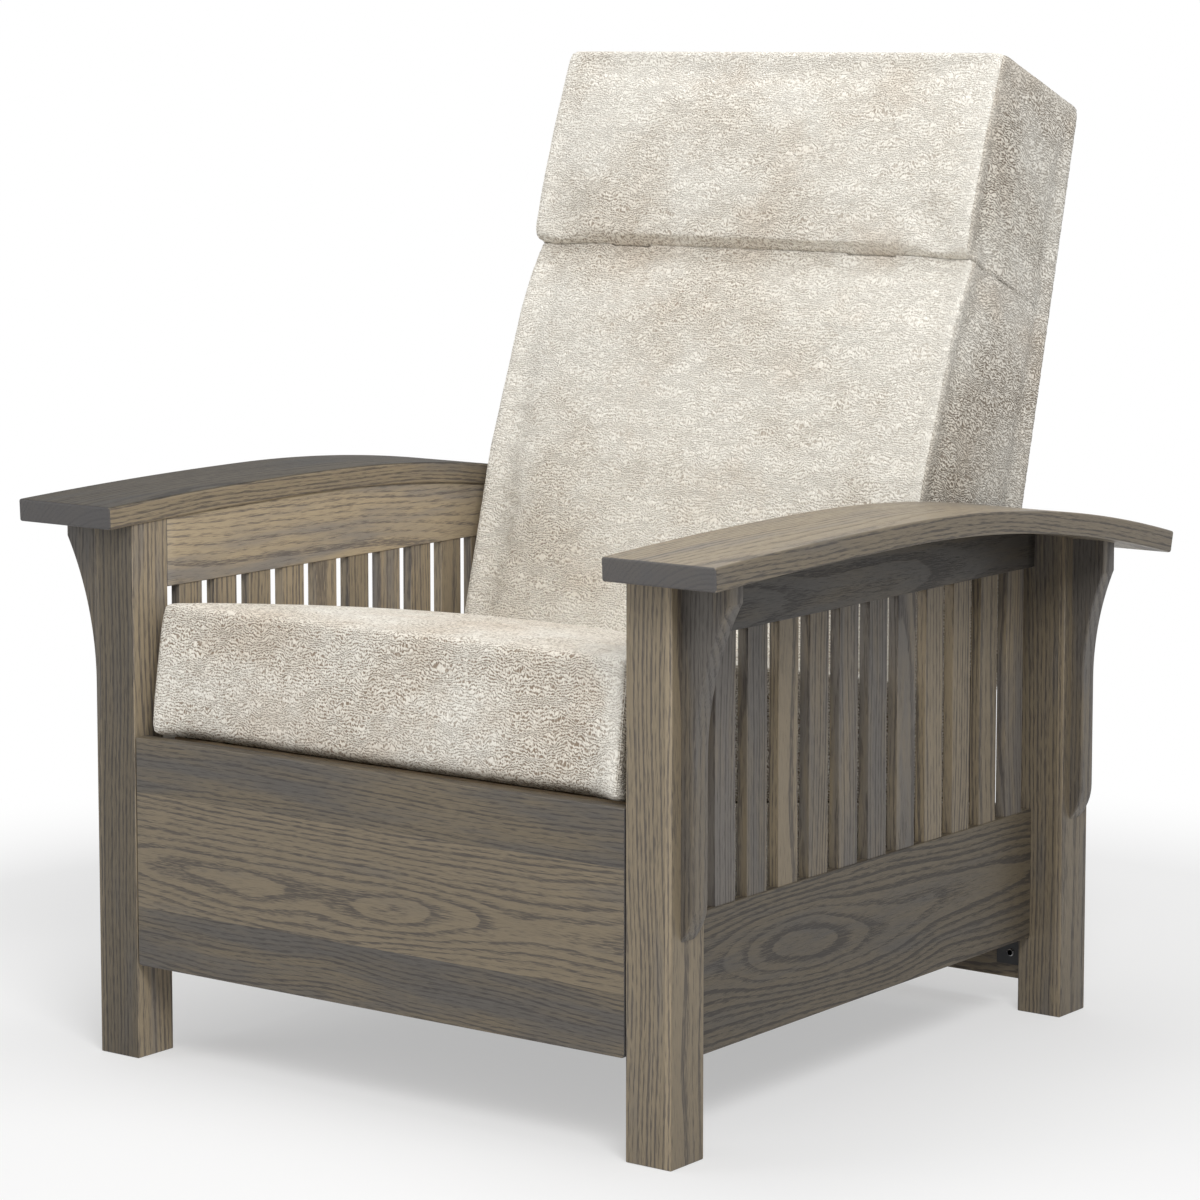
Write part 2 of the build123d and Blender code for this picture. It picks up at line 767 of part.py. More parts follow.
def back_bracket():
    """A steel plate on the side of the back, hung on the pivot pin, with a tail for the stop."""
    lean = radians(back_rear_tilt)
    half_top, half_tail = bracket_width / 2, bracket_tail_width / 2
    top = (pivot_y + bracket_length * sin(lean), pivot_height + bracket_length * cos(lean))
    outline = [
        (pivot_y - half_top, pivot_height),
        (pivot_y - half_tail, pivot_height - half_top),
        (pivot_y - half_tail, pivot_height - bracket_tail),
        (pivot_y + half_tail, pivot_height - bracket_tail),
        (pivot_y + half_tail, pivot_height - half_top),
        (pivot_y + half_top, pivot_height),
        (top[0] + half_top, top[1]),
        (top[0] - half_top, top[1]),
    ]
    x = (back_half_width + face_clearance, back_half_width + face_clearance + bracket_thickness)
    plate = side_polygon(outline, x)
    through = (x[0] - cut_overrun, x[1] + cut_overrun)
    return plate - cross_pin(pivot_y, pivot_height, pin_radius + running_clearance, through)


def recline_pin():
    head_x = back_half_width + face_clearance - side_clearance
    pin = cross_pin(pivot_y, pivot_height, pin_radius, (head_x, seat_frame_half_width))
    head = cross_pin(pivot_y, pivot_height, pin_head_radius, (head_x - pin_head_thickness, head_x))
    return pin + head


def stop_pin():
    y, height = stop_pin_place()
    return cross_pin(y, height, pin_radius, (back_half_width + face_clearance, seat_frame_half_width))


def pair(part):
    return Compound([mirrored(part), part])


def both_sides(name, part):
    return {name + "_left": mirrored(part), name + "_right": part}


def build():
    nodes = {}
    nodes.update(both_sides("post_front", post(False)))
    nodes.update(both_sides("post_rear", post(True)))
    nodes.update(both_sides("arm", arm()))
    nodes.update(both_sides("upper_rail", upper_rail()))
    nodes.update(both_sides("lower_rail", lower_rail()))
    nodes.update(both_sides("slats", slats()))
    nodes.update(both_sides("corbel_front", corbel(False)))
    nodes.update(both_sides("corbel_rear", corbel(True)))
    nodes["rear_rail"] = rear_rail()
    nodes["front_stretcher"] = front_stretcher()
    nodes["corner_blocks"] = pair(corner_block())
    nodes["panel_bumpers"] = pair(bumper())
    nodes.update(both_sides("seat_ledger", ledger()))
    nodes.update(both_sides("seat_side", seat_side()))
    nodes["seat_front_rail"] = seat_front_rail()
    nodes["seat_cross_rail"] = seat_cross_rail()
    nodes["seat_tail_rail"] = seat_tail_rail()
    nodes["seat_webbing"] = seat_webbing()
    nodes["dust_cover"] = dust_cover()
    nodes["seat_cushion"] = seat_cushion()
    nodes.update(both_sides("rear_strap", rear_strap()))
    nodes.update(both_sides("runner_fixed", runner_fixed()))
    nodes["recline_pins"] = pair(recline_pin())
    nodes["back_stop_pins"] = pair(stop_pin())
    nodes["front_panel"] = front_panel()
    nodes["footrest_board"] = footrest_board()
    nodes.update(both_sides("footrest_side", drawer_side()))
    nodes["footrest_pad"] = footrest_pad()
    nodes["panel_cleat"] = panel_cleat()
    nodes.update(both_sides("runner_moving", runner_moving()))
    nodes["back_shell"] = back_shell()
    nodes["back_cushion"] = back_cushion()
    nodes["head_pillow"] = head_pillow()
    nodes.update(both_sides("back_bracket", back_bracket()))
    return nodes


os.makedirs("parts", exist_ok=True)
chair = build()
overall = Compound(list(chair.values())).bounding_box()
middle_y = (overall.min.Y + overall.max.Y) / 2
for name, part in chair.items():
    export_step(Pos(0, -middle_y, 0) * part, "parts/" + name + ".step")

print("overall", overall.size)
print("shift of the origin from the front posts", round(middle_y, 4))
print("pivot of the back", round(pivot_y - middle_y, 4), pivot_height)
print("footrest direction", round(-cos(tip), 6), round(sin(tip), 6), "travel", footrest_travel)
print("recline", recline_angle)
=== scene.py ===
import json
import random
from math import asin, atan2, cos, exp, radians, sin, sqrt, tan

import bmesh
import bpy
from mathutils import Matrix, Vector
from mathutils.bvhtree import BVHTree
from mathutils.kdtree import KDTree


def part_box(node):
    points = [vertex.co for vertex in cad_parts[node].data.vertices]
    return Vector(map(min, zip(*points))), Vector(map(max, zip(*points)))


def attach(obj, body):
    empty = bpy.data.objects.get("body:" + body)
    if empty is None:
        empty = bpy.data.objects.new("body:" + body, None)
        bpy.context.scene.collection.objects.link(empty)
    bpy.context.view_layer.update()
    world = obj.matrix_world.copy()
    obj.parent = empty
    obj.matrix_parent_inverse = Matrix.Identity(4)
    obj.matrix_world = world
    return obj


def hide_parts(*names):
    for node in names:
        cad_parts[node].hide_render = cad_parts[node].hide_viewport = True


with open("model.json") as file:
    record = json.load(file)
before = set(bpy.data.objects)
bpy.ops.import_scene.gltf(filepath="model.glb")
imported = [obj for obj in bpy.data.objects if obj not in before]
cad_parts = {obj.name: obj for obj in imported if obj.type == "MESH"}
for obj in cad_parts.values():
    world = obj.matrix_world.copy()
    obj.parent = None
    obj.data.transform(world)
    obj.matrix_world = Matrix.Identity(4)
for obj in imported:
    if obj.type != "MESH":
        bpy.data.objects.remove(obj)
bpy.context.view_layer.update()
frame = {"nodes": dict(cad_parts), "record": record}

bl_info = {
    "name": "Bow-arm slat chair",
    "version": (1, 0, 0),
    "blender": (4, 5, 0),
    "location": "3D View > Sidebar > Chair",
    "description": "Dresses the frame of a bow-arm slat chair with boards, cushions and a plain studio",
    "category": "Add Mesh",
}

SIDES = {"_left": -1, "_right": 1}
X, Y, Z = 0, 1, 2
WHITE = (1.0, 1.0, 1.0, 1.0)


def low(node):
    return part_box(node)[0]


def high(node):
    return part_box(node)[1]


def corner(node, *direction):
    """The corner of a solid that lies farthest along a direction."""
    towards = Vector(direction)
    return max((vertex.co for vertex in frame["nodes"][node].data.vertices), key=towards.dot).copy()


def underside_lean(node):
    """The slope of a solid's underside from front to back."""
    run = corner(node, 5, 1, -1) - corner(node, 5, -1, -1)
    return atan2(run.z, run.y)


# Places taken from the frame
FRAME_FRONT = low("post_front_right").y
FRAME_REAR = high("post_rear_right").y
POST_SIZE = high("post_front_right").x - low("post_front_right").x
CREST_HEIGHT = high("arm_right").z

# Sizes of the hidden steel
STRAP_THICKNESS = 0.003
RUNNER_WALL = 0.0012
SEAT_SLOPE = radians(9)

# Making of the cushions
SEAM_WIDTH, SEAM_DEPTH = 0.004, 0.0010
CLOTH_STEPS = 20


def length(name, description, default):
    return bpy.props.FloatProperty(name=name, description=description, default=default, unit="LENGTH")


def number(name, description, default):
    return bpy.props.FloatProperty(name=name, description=description, default=default)


def count(name, description, default):
    return bpy.props.IntProperty(name=name, description=description, default=default)


def angle(name, description, default):
    return bpy.props.FloatProperty(name=name, description=description, subtype="ANGLE", default=default)


def colour(name, description, default):
    return bpy.props.FloatVectorProperty(
        name=name, description=description, subtype="COLOR", size=3, default=default)


class ChairJoinery(bpy.types.PropertyGroup):
    """Sizes of the woodwork."""

    arm_thickness: length("Arm thickness", "Thickness of the bent arm board", 0.0254)
    crest_share: number("Crest place", "Place of the crest as a share of the frame's depth", 0.3954)
    front_drop: length("Front drop", "Drop of the bow from its crest to the front of the posts", 0.0071)
    rear_drop: length("Rear drop", "Drop of the bow from its crest to the back of the posts", 0.0548)
    arm_easing: length("Arm edge", "Radius of the arm's eased edges", 0.0026)
    board_easing: length("Board edge", "Radius of the eased edges of posts, rails and panel", 0.0014)
    slat_easing: length("Slat edge", "Radius of a slat's eased edges", 0.0010)
    corbel_easing: length("Corbel edge", "Radius of the rounded edges of a corbel", 0.0022)
    post_lamination: length("Post lamination", "Thickness of the outer board that faces each post", 0.008)


class ChairOak(bpy.types.PropertyGroup):
    """Colours and grain of the stained oak."""

    light: colour("Late wood", "Colour between the rings", (0.212, 0.171, 0.115))
    grey: colour("Grey bloom", "Colour of the blue-grey patches", (0.124, 0.112, 0.099))
    dark: colour("Early wood", "Colour of the open pores, which take the stain", (0.060, 0.052, 0.048))
    ring: length("Ring spacing", "Distance from one year's ring to the next", 0.0050)


class ChairUpholstery(bpy.types.PropertyGroup):
    """Colours and making of the cushions."""

    # Cream also carries the painted highlight by the seams, and taupe the painted shade by the crease.
    cream: colour("Cream", "Colour of the worn high spots", (0.96, 0.925, 0.84))
    taupe: colour("Taupe", "Colour of the shaded patches", (0.90, 0.845, 0.745))
    crease: colour("Crease", "Colour in the fine creases", (0.29, 0.225, 0.165))
    crease_size: length("Crease size", "Spacing of the fine creases", 0.0034)
    pressure: number("Pressure", "Air pressure that fills a cushion", 4.0)
    seam_bead: length("Seam bead", "Radius of the sewn ridge along a cushion's edges", 0.0009)


class ChairStudio(bpy.types.PropertyGroup):
    """Camera and light."""

    place: bpy.props.FloatVectorProperty(
        name="Camera place", description="Place of the camera", subtype="TRANSLATION", size=3,
        default=(2.6380, -3.5798, 1.1427))
    turn: angle("Camera turn", "Turn of the camera to the left of straight ahead", radians(36.741))
    dip: angle("Camera dip", "Downward tilt of the camera", radians(6.521))
    lens: number("Lens", "Focal length in millimetres", 117.34)
    shift: number("Lens shift", "Shift of the view, as a share of its width", -0.1)
    ambient: number("Ambient", "Level of the light from all round", 0.30)


def joinery():
    return bpy.context.scene.chair_joinery


# The bow of the arms: two arcs that meet level at the crest
def crest_y():
    return FRAME_FRONT + joinery().crest_share * (FRAME_REAR - FRAME_FRONT)


def bow_radius(along):
    """Radius of the arc in front of the crest or behind it."""
    run, drop = crest_y() - FRAME_FRONT, joinery().front_drop
    if along > 0:
        run, drop = FRAME_REAR - crest_y(), joinery().rear_drop
    return (run**2 + drop**2) / (2 * drop)


def bent(along, height):
    """Where a point of the straight board goes when the arm is bent; height is above its top face."""
    radius = bow_radius(along)
    turn = along / radius
    reach = radius + height
    return crest_y() + reach * sin(turn), CREST_HEIGHT - radius + reach * cos(turn)


def underside(y):
    """Height of the arm's underside at the place y."""
    along = y - crest_y()
    radius = bow_radius(along)
    return CREST_HEIGHT - radius + sqrt((radius - joinery().arm_thickness) ** 2 - along**2)


# Boards
def blank(lowest, highest):
    """A square-edged blank between two corners."""
    bm = bmesh.new()
    middle, size = (lowest + highest) / 2, highest - lowest
    bmesh.ops.create_cube(bm, size=1.0, matrix=Matrix.Translation(middle) @ Matrix.Diagonal((*size, 1.0)))
    return bm


def lengthwise(bm, axis, cuts):
    """Divides a blank along its length, so that it can be bent."""
    edges = [edge for edge in bm.edges if abs((edge.verts[1].co - edge.verts[0].co).normalized()[axis]) > 0.9]
    bmesh.ops.subdivide_edges(bm, edges=edges, cuts=cuts, use_grid_fill=True)


def drawn_out(bm, face, step):
    """Extrudes a face by a step, and gives the new face."""
    result = bmesh.ops.extrude_face_region(bm, geom=[face])["geom"]
    face = next(element for element in result if isinstance(element, bmesh.types.BMFace))
    bmesh.ops.translate(bm, vec=step, verts=face.verts)
    return face


def glue_lines(bm, axis, places):
    """Splits the faces of a board where its laminations meet."""
    normal = Vector(axis == other for other in (X, Y, Z))
    for place in places:
        geometry = bm.verts[:] + bm.edges[:] + bm.faces[:]
        bmesh.ops.bisect_plane(bm, geom=geometry, plane_co=normal * place, plane_no=normal)


def ease(bm, radius, segments=2, keep=None):
    """Rounds the sharp edges of a board, and marks the round ones as arrises."""
    sharp = [edge for edge in bm.edges if edge.is_manifold and edge.calc_face_angle(0) > radians(35)]
    edges = [edge for edge in sharp if keep is None or keep(edge)]
    result = bmesh.ops.bevel(
        bm, geom=edges, offset=radius, offset_type="OFFSET", segments=segments, profile=0.5,
        affect="EDGES", material=-1, clamp_overlap=True)
    return set(result["faces"])


class Cut:
    """Where in the log a board was sawn, and how it took the stain.

    The pith is given from the middle of the board, across its wide face and into it. The lean is the slope of
    the grain, and wild is how far it wanders. Tone is the board's brightness, which on some boards also holds
    painted light or shade, warmth runs from grey to brown and figure is the strength of the rings.
    """

    def __init__(self, start, pith, lean=(0.0, 0.0), tone=1.0, warmth=0.5, figure=1.0, wild=1.0):
        self.start, self.pith, self.lean, self.wild = start, pith, lean, wild
        self.stain = (tone, warmth, figure)


def saw(bm, along, across, cuts, rounds, glue_axis=X, glue_places=()):
    """Gives each face of a board the place in the log that it was cut from, and its kind of surface."""
    deep = 3 - along - across
    lowest = [min(vertex.co[axis] for vertex in bm.verts) for axis in (X, Y, Z)]
    highest = [max(vertex.co[axis] for vertex in bm.verts) for axis in (X, Y, Z)]
    middle = [(a + b) / 2 for a, b in zip(lowest, highest)]
    log = bm.loops.layers.float_vector.new("log")
    mark = bm.faces.layers.float_vector.new("mark")
    stain = bm.faces.layers.float_vector.new("stain")
    bm.normal_update()
    for face in bm.faces:
        place = face.calc_center_median()[glue_axis]
        cut = cuts[sum(place > line for line in glue_places)]
        face[mark] = (abs(face.normal[along]) > 0.7, face in rounds, cut.wild)
        face[stain] = cut.stain
        for loop in face.loops:
            run = loop.vert.co[along] - middle[along]
            side = loop.vert.co[across] - middle[across] + cut.pith[0] + run * cut.lean[0]
            depth = loop.vert.co[deep] - middle[deep] + cut.pith[1] + run * cut.lean[1]
            loop[log] = (run + cut.start, side, depth)


def painted_light_by_facing(bm, direction, factor, warmth=0.0):
    """Paints light or shade on the faces that look one way: their stain's tone is made lighter or darker, and
    browner or greyer.
    """
    stain = bm.faces.layers.float_vector["stain"]
    for face in bm.faces:
        if face.normal.dot(direction) > 0.7:
            tone, brown, figure = face[stain]
            face[stain] = (tone * factor, brown + warmth, figure)


def placed(bm, name):
    """Makes a bmesh into an object at the origin."""
    mesh = bpy.data.meshes.new(name)
    bm.to_mesh(mesh)
    bm.free()
    piece = bpy.data.objects.new(name, mesh)
    bpy.context.scene.collection.objects.link(piece)
    return piece


def finished(bm, name, body, material, replaced):
    """Makes a bmesh into a piece that rides on a body and stands for solids."""
    piece = placed(bm, name)
    piece.data.materials.append(material)
    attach(piece, body)
    if replaced:
        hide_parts(*replaced)
    return piece


def wooden(bm, name, replaced, body="frame"):
    """A finished board of stained oak."""
    piece = finished(bm, name, body, stained_oak(), replaced)
    piece.data.shade_smooth()
    weights = piece.modifiers.new("Flat faces", "WEIGHTED_NORMAL")
    weights.keep_sharp = True
    weights.weight = 100
    return piece


def sided(bm, stem, suffix, ending="_board"):
    """A board made for the right side, finished for the side of its suffix."""
    if SIDES[suffix] < 0:
        bmesh.ops.scale(bm, vec=(-1, 1, 1), verts=bm.verts)
        bmesh.ops.reverse_faces(bm, faces=bm.faces)
    return wooden(bm, stem + suffix + ending, [stem + suffix])


# Materials
class Value:
    """A number that varies over a surface. Arithmetic on it adds nodes to its material."""

    def __init__(self, paint, socket):
        self.paint, self.socket = paint, socket

    def math(self, operation, *terms):
        return self.paint.math(operation, self, *terms)

    def __add__(self, other):
        return self.math("ADD", other)

    def __sub__(self, other):
        return self.math("SUBTRACT", other)

    def __rsub__(self, other):
        return self.paint.math("SUBTRACT", other, self)

    def __mul__(self, other):
        return self.math("MULTIPLY", other)

    __radd__, __rmul__ = __add__, __mul__


class Paint:
    """A material or the world, and the nodes that make it."""

    def __init__(self, owner):
        owner.use_nodes = True
        self.owner, self.tree = owner, owner.node_tree
        self.tree.nodes.clear()

    def node(self, kind, settings=None, inputs=None, output=0):
        """Adds a node: its settings come first, then the values or links of its sockets."""
        node = self.tree.nodes.new(kind)
        for key, setting in (settings or {}).items():
            setattr(node, key, setting)
        for key, term in (inputs or {}).items():
            if isinstance(term, Value):
                self.tree.links.new(term.socket, node.inputs[key])
            else:
                node.inputs[key].default_value = term
        return Value(self, node.outputs[output]) if node.outputs else None

    def math(self, operation, *terms):
        return self.node("ShaderNodeMath", {"operation": operation}, dict(enumerate(terms)))

    def attribute(self, name, output=1):
        """A vector kept on the mesh, or with output 2 a number."""
        return self.node("ShaderNodeAttribute", {"attribute_name": name}, output=output)

    def coordinates(self, output="Object"):
        return self.node("ShaderNodeTexCoord", output=output)

    def stretched(self, vector, scales):
        settings = {"operation": "MULTIPLY"}
        return self.node("ShaderNodeVectorMath", settings, {0: vector, 1: scales})

    def moved(self, vector, offset):
        return self.node("ShaderNodeVectorMath", {"operation": "ADD"}, {0: vector, 1: offset})

    def split(self, vector):
        first = self.node("ShaderNodeSeparateXYZ", inputs={0: vector})
        return [Value(self, socket) for socket in first.socket.node.outputs]

    def joined(self, *terms):
        return self.node("ShaderNodeCombineXYZ", inputs=dict(enumerate(terms)))

    def noise(self, vector, scale, detail=2.0, roughness=0.5):
        """Noise with one scale, or with a scale for each axis."""
        if isinstance(scale, tuple):
            vector, scale = self.stretched(vector, scale), 1.0
        inputs = {"Vector": vector, "Scale": scale, "Detail": detail, "Roughness": roughness}
        return self.node("ShaderNodeTexNoise", inputs=inputs)

    def between(self, value, start, end, top=1.0):
        """Runs smoothly from 0 at start to top at end."""
        settings = {"interpolation_type": "SMOOTHSTEP"}
        return self.node("ShaderNodeMapRange", settings, {0: value, 1: start, 2: end, 3: 0.0, 4: top})

    def mix(self, factor, first, second, blend="MIX"):
        first, second = [term if isinstance(term, Value) else (*term, 1.0) for term in (first, second)]
        settings = {"data_type": "RGBA", "blend_type": blend}
        return self.node("ShaderNodeMix", settings, {0: factor, 6: first, 7: second}, output=2)

    def surface(self, colour, roughness, height, depth, strength=1.0, others=None):
        """Ends the material: a relief is raised by its height, and others holds any other sockets."""
        relief = {"Strength": strength, "Distance": depth, "Height": height}
        inputs = {"Base Color": colour, "Roughness": roughness, **(others or {})}
        inputs["Normal"] = self.node("ShaderNodeBump", inputs=relief)
        shader = self.node("ShaderNodeBsdfPrincipled", inputs=inputs)
        self.node("ShaderNodeOutputMaterial", inputs={"Surface": shader})
        return self.owner


def made_once(make):
    """Keeps the material of a finish, so that every piece shares it."""
    def fetch():
        name = make.__name__ + "_finish"
        return bpy.data.materials.get(name) or make(Paint(bpy.data.materials.new(name)))
    return fetch


@made_once
def stained_oak(paint):
    """Open-grained oak under a grey-brown stain, satin."""
    look = bpy.context.scene.chair_oak
    log = paint.attribute("log")
    end, arris, wild = paint.split(paint.attribute("mark"))
    tone, warmth, figure = paint.split(paint.attribute("stain"))
    along, side, depth = paint.split(log)
    matt = paint.attribute("matt", 2)

    # Year rings round the pith, which wanders along the log
    wander = paint.noise(log, (2.6, 6.0, 6.0), detail=1.5) - 0.5
    quiver = paint.noise(log, (16.0, 60.0, 60.0), detail=3.0) - 0.5
    radius = (side * side + depth * depth).math("SQRT") + (wander * 0.060 + quiver * 0.0032) * wild
    ring = radius * (1 / look.ring)
    year = ring.math("FLOOR")
    vigour = paint.node("ShaderNodeTexWhiteNoise", {"noise_dimensions": "1D"}, {"W": year})
    phase = ring - year
    early = 1.0 - paint.between(phase - vigour * 0.25, 0.05, 0.60)
    early = early * paint.between(phase, 0.0, 0.10)

    # Pores: dark dashes along the grain, close together in the early wood
    dashes = paint.between(paint.noise(log, (40.0, 620.0, 620.0)), 0.34, 0.66)
    specks = paint.between(paint.noise(log, (75.0, 1500.0, 1500.0)), 0.36, 0.64)
    fill = early * (vigour * 0.40 + 0.50) * figure + dashes * 0.46 + specks * 0.46
    darkness = paint.between(fill, 0.50, 1.30)

    # Stain: greyer and browner drifts of it over the ground
    drifts = paint.noise(log, (7.0, 55.0, 55.0), detail=3.0, roughness=0.6)
    clouds = paint.noise(log, (2.5, 14.0, 14.0))
    bloom = paint.between(drifts * 0.5 + clouds * 0.5 - (warmth - 0.5) * 0.35, 0.38, 0.62)
    ground = paint.mix(bloom, look.light, look.grey)
    colour = paint.mix(darkness * 0.80, ground, look.dark)
    # The rounded arrises are painted lighter, partly as wear and partly as painted highlight, and the tone
    # carries the painted light and shade of some faces.
    shade = tone + (drifts - 0.5) * 0.22 + (specks - 0.5) * -0.10 + arris * 0.16
    colour = paint.mix(1.0, colour, paint.joined(shade, shade, shade), blend="MULTIPLY")
    cut_ends = paint.mix(specks, (0.102, 0.098, 0.098), (0.056, 0.054, 0.056))
    colour = paint.mix(end * 0.9, colour, cut_ends)

    roughness = darkness * 0.14 + 0.42 + end * 0.16 + matt * 0.34
    lacquer = {"Coat Weight": 0.06, "Coat Roughness": 0.30, "Specular IOR Level": 0.34}
    return paint.surface(colour, roughness, darkness * -1.0, 0.00022, 0.7, lacquer)


@made_once
def upholstery(paint):
    """Cream coated cloth with a fine rippled grain and worn patches."""
    look = bpy.context.scene.chair_upholstery
    place = paint.coordinates()
    sideways = paint.split(paint.coordinates("Normal"))[X].math("ABSOLUTE")
    facing = paint.between(sideways, 0.5, 0.75)
    x, y, z = paint.split(place)
    rub, relief = paint.attribute("rub", 2), paint.attribute("relief", 2)
    fine = 1 / look.crease_size

    # Ripples across the front, slanting on the sides, that bend and break up
    bend = paint.noise(place, 34.0) - 0.5
    waver = paint.noise(place, 190.0, roughness=0.6) - 0.5
    rise = z + y * 0.40 + bend * 0.026 + waver * 0.0068
    ripple = (rise * (6.2832 * fine)).math("SINE") * 0.5 + 0.5
    run = y - z * 0.40
    cells = paint.joined(x * (1.8 * fine), run * (0.8 * fine), rise * (2.4 * fine))
    pebble = paint.noise(cells, 1.0, roughness=0.6)
    grain = paint.between(pebble, 0.30, 0.70) * 0.56 + ripple * 0.44

    # Patches: where the finish is worn, the cloth is paler and smoother. By the seams the fronts are also
    # painted paler as painted highlight and the sides painted darker as painted shade, and by the crease the
    # cloth is painted darker as painted shade.
    patches = paint.noise(place, 7.5, detail=3.0, roughness=0.6)
    warmth = paint.noise(paint.moved(place, (3.0, 1.0, 2.0)), 9.0, detail=3.0, roughness=0.6)
    worn = paint.between(patches + rub * (0.26 - facing * 0.30), 0.33, 0.63)
    creased = paint.between(grain, 0.62 - facing * 0.06, 0.20 + facing * 0.18) * (1.0 - worn * 0.36)
    ground = paint.mix(worn, look.taupe, look.cream)
    tanned = paint.between(warmth - rub * (0.26 - facing * 0.30), 0.46, 0.80, 0.50)
    ground = paint.mix(tanned, ground, (0.72, 0.595, 0.465))
    # On the side faces the creases are painted darker and denser, partly as grain and partly as painted shade
    # on the sides.
    crease = paint.mix(facing, look.crease, (0.18, 0.14, 0.10))
    colour = paint.mix(creased * (relief * 0.92 + facing * 0.08), ground, crease)
    roughness = 0.62 - worn * 0.10 + creased * 0.1
    return paint.surface(colour, roughness, grain, 0.0012, others={"Specular IOR Level": 0.40})


@made_once
def frame_hardwood(paint):
    """Plain hardwood of the hidden frame, unfinished."""
    place = paint.coordinates()
    streaks = paint.noise(place, (40.0, 14.0, 160.0), detail=4.0, roughness=0.6)
    figure = paint.noise(place, (9.0, 3.0, 30.0))
    colour = paint.mix(figure, (0.50, 0.36, 0.21), (0.62, 0.47, 0.29))
    colour = paint.mix(paint.between(streaks, 0.5, 0.8, 0.5), colour, (0.33, 0.22, 0.12))
    return paint.surface(colour, streaks * 0.2 + 0.55, streaks, 0.0003)


@made_once
def webbing(paint):
    """Woven straps."""
    sides = paint.split(paint.coordinates())[:2]
    warp, weft = [(side * 2600.0).math("SINE") for side in sides]
    weave = warp * weft * 0.5 + 0.5
    fuzz = paint.noise(paint.coordinates(), 900.0)
    colour = paint.mix(weave, (0.095, 0.075, 0.055), (0.22, 0.175, 0.125))
    colour = paint.mix(fuzz * 0.3, colour, (0.30, 0.25, 0.18))
    return paint.surface(colour, fuzz * 0.2 + 0.7, weave, 0.0005)


@made_once
def dust_cloth(paint):
    """Black felted cloth under the seat."""
    place = paint.coordinates()
    felt = paint.noise(place, 420.0, detail=4.0, roughness=0.7)
    dots = paint.node("ShaderNodeTexVoronoi", {"feature": "F1"}, {"Vector": place, "Scale": 480.0})
    colour = paint.mix(felt, (0.010, 0.010, 0.011), (0.040, 0.039, 0.040))
    return paint.surface(colour, felt * 0.15 + 0.8, dots, 0.0004, 0.7)


@made_once
def bumper_rubber(paint):
    """Black rubber, a little dusty."""
    dust = paint.noise(paint.coordinates(), 260.0, detail=3.0)
    colour = paint.mix(paint.between(dust, 0.45, 0.8), (0.018, 0.018, 0.018), (0.075, 0.072, 0.068))
    return paint.surface(colour, dust * 0.3 + 0.55, dust, 0.0002)


@made_once
def black_steel(paint):
    """Steel under thin black powder coat, worn bright in places."""
    place = paint.coordinates()
    orange_peel = paint.noise(place, 900.0)
    wear = paint.between(paint.noise(place, 60.0, detail=5.0, roughness=0.7), 0.62, 0.74)
    colour = paint.mix(wear, (0.016, 0.016, 0.018), (0.10, 0.10, 0.10))
    roughness = orange_peel * 0.2 + 0.38
    return paint.surface(colour, roughness, orange_peel, 0.0001, others={"Metallic": wear * 0.6})


@made_once
def zinc_steel(paint):
    """Zinc-plated steel with fine rolling marks."""
    place = paint.coordinates()
    marks = paint.noise(place, (900.0, 14.0, 900.0), detail=3.0)
    spangle = paint.noise(place, 120.0)
    colour = paint.mix(spangle, (0.50, 0.51, 0.53), (0.66, 0.66, 0.67))
    return paint.surface(colour, marks * 0.22 + 0.26, marks, 0.00006, others={"Metallic": 1.0})


# Cushions
def solids(*nodes):
    """A copy of some solids, with their doubles merged."""
    bm = bmesh.new()
    for node in nodes:
        bm.from_mesh(frame["nodes"][node].data)
    bmesh.ops.remove_doubles(bm, verts=bm.verts, dist=1e-6)
    return bm


def applied(draft):
    """The mesh of an object with its modifiers applied; the object goes."""
    bpy.context.view_layer.update()
    mesh = bpy.data.meshes.new_from_object(draft.evaluated_get(bpy.context.evaluated_depsgraph_get()))
    bpy.data.objects.remove(draft)
    return mesh


def reopened(mesh):
    """A bmesh of a mesh, which goes."""
    bm = bmesh.new()
    bm.from_mesh(mesh)
    bpy.data.meshes.remove(mesh)
    return bm


def skin(bm, voxel, lean=0.0):
    """One closed skin of even squares round some forms, with its rows square to the given lean."""
    turn = Matrix.Rotation(lean, 4, "X")
    bmesh.ops.transform(bm, matrix=turn, verts=bm.verts)
    draft = placed(bm, "draft")
    remesh = draft.modifiers.new("Even squares", "REMESH")
    remesh.mode, remesh.voxel_size = "VOXEL", voxel
    even = applied(draft)
    even.transform(turn.inverted())
    return reopened(even)


def refined(bm):
    """The same skin with each of its squares divided in four."""
    draft = placed(bm, "draft")
    finer = draft.modifiers.new("Finer", "SUBSURF")
    finer.levels = finer.render_levels = 1
    return reopened(applied(draft))


def free_share(held, place, reach=0.022):
    """How freely a point of a skin moves: 0 on a sewn line, 1 well away from it."""
    return 1 - exp(-((held.nearest(place)[0] / reach) ** 2))


def shrunk(bm, distance, held):
    """Draws a skin in along its normals, or lets it out if the distance is negative."""
    bm.normal_update()
    for vertex, normal in [(vertex, vertex.normal.copy()) for vertex in bm.verts]:
        vertex.co -= normal * distance * free_share(held, vertex.co)


def rounded(bm, passes):
    """Softens the corners of a skin."""
    axes = {"use_axis_x": True, "use_axis_y": True, "use_axis_z": True}
    for _ in range(passes):
        bmesh.ops.smooth_vert(bm, verts=bm.verts, factor=0.5, **axes)


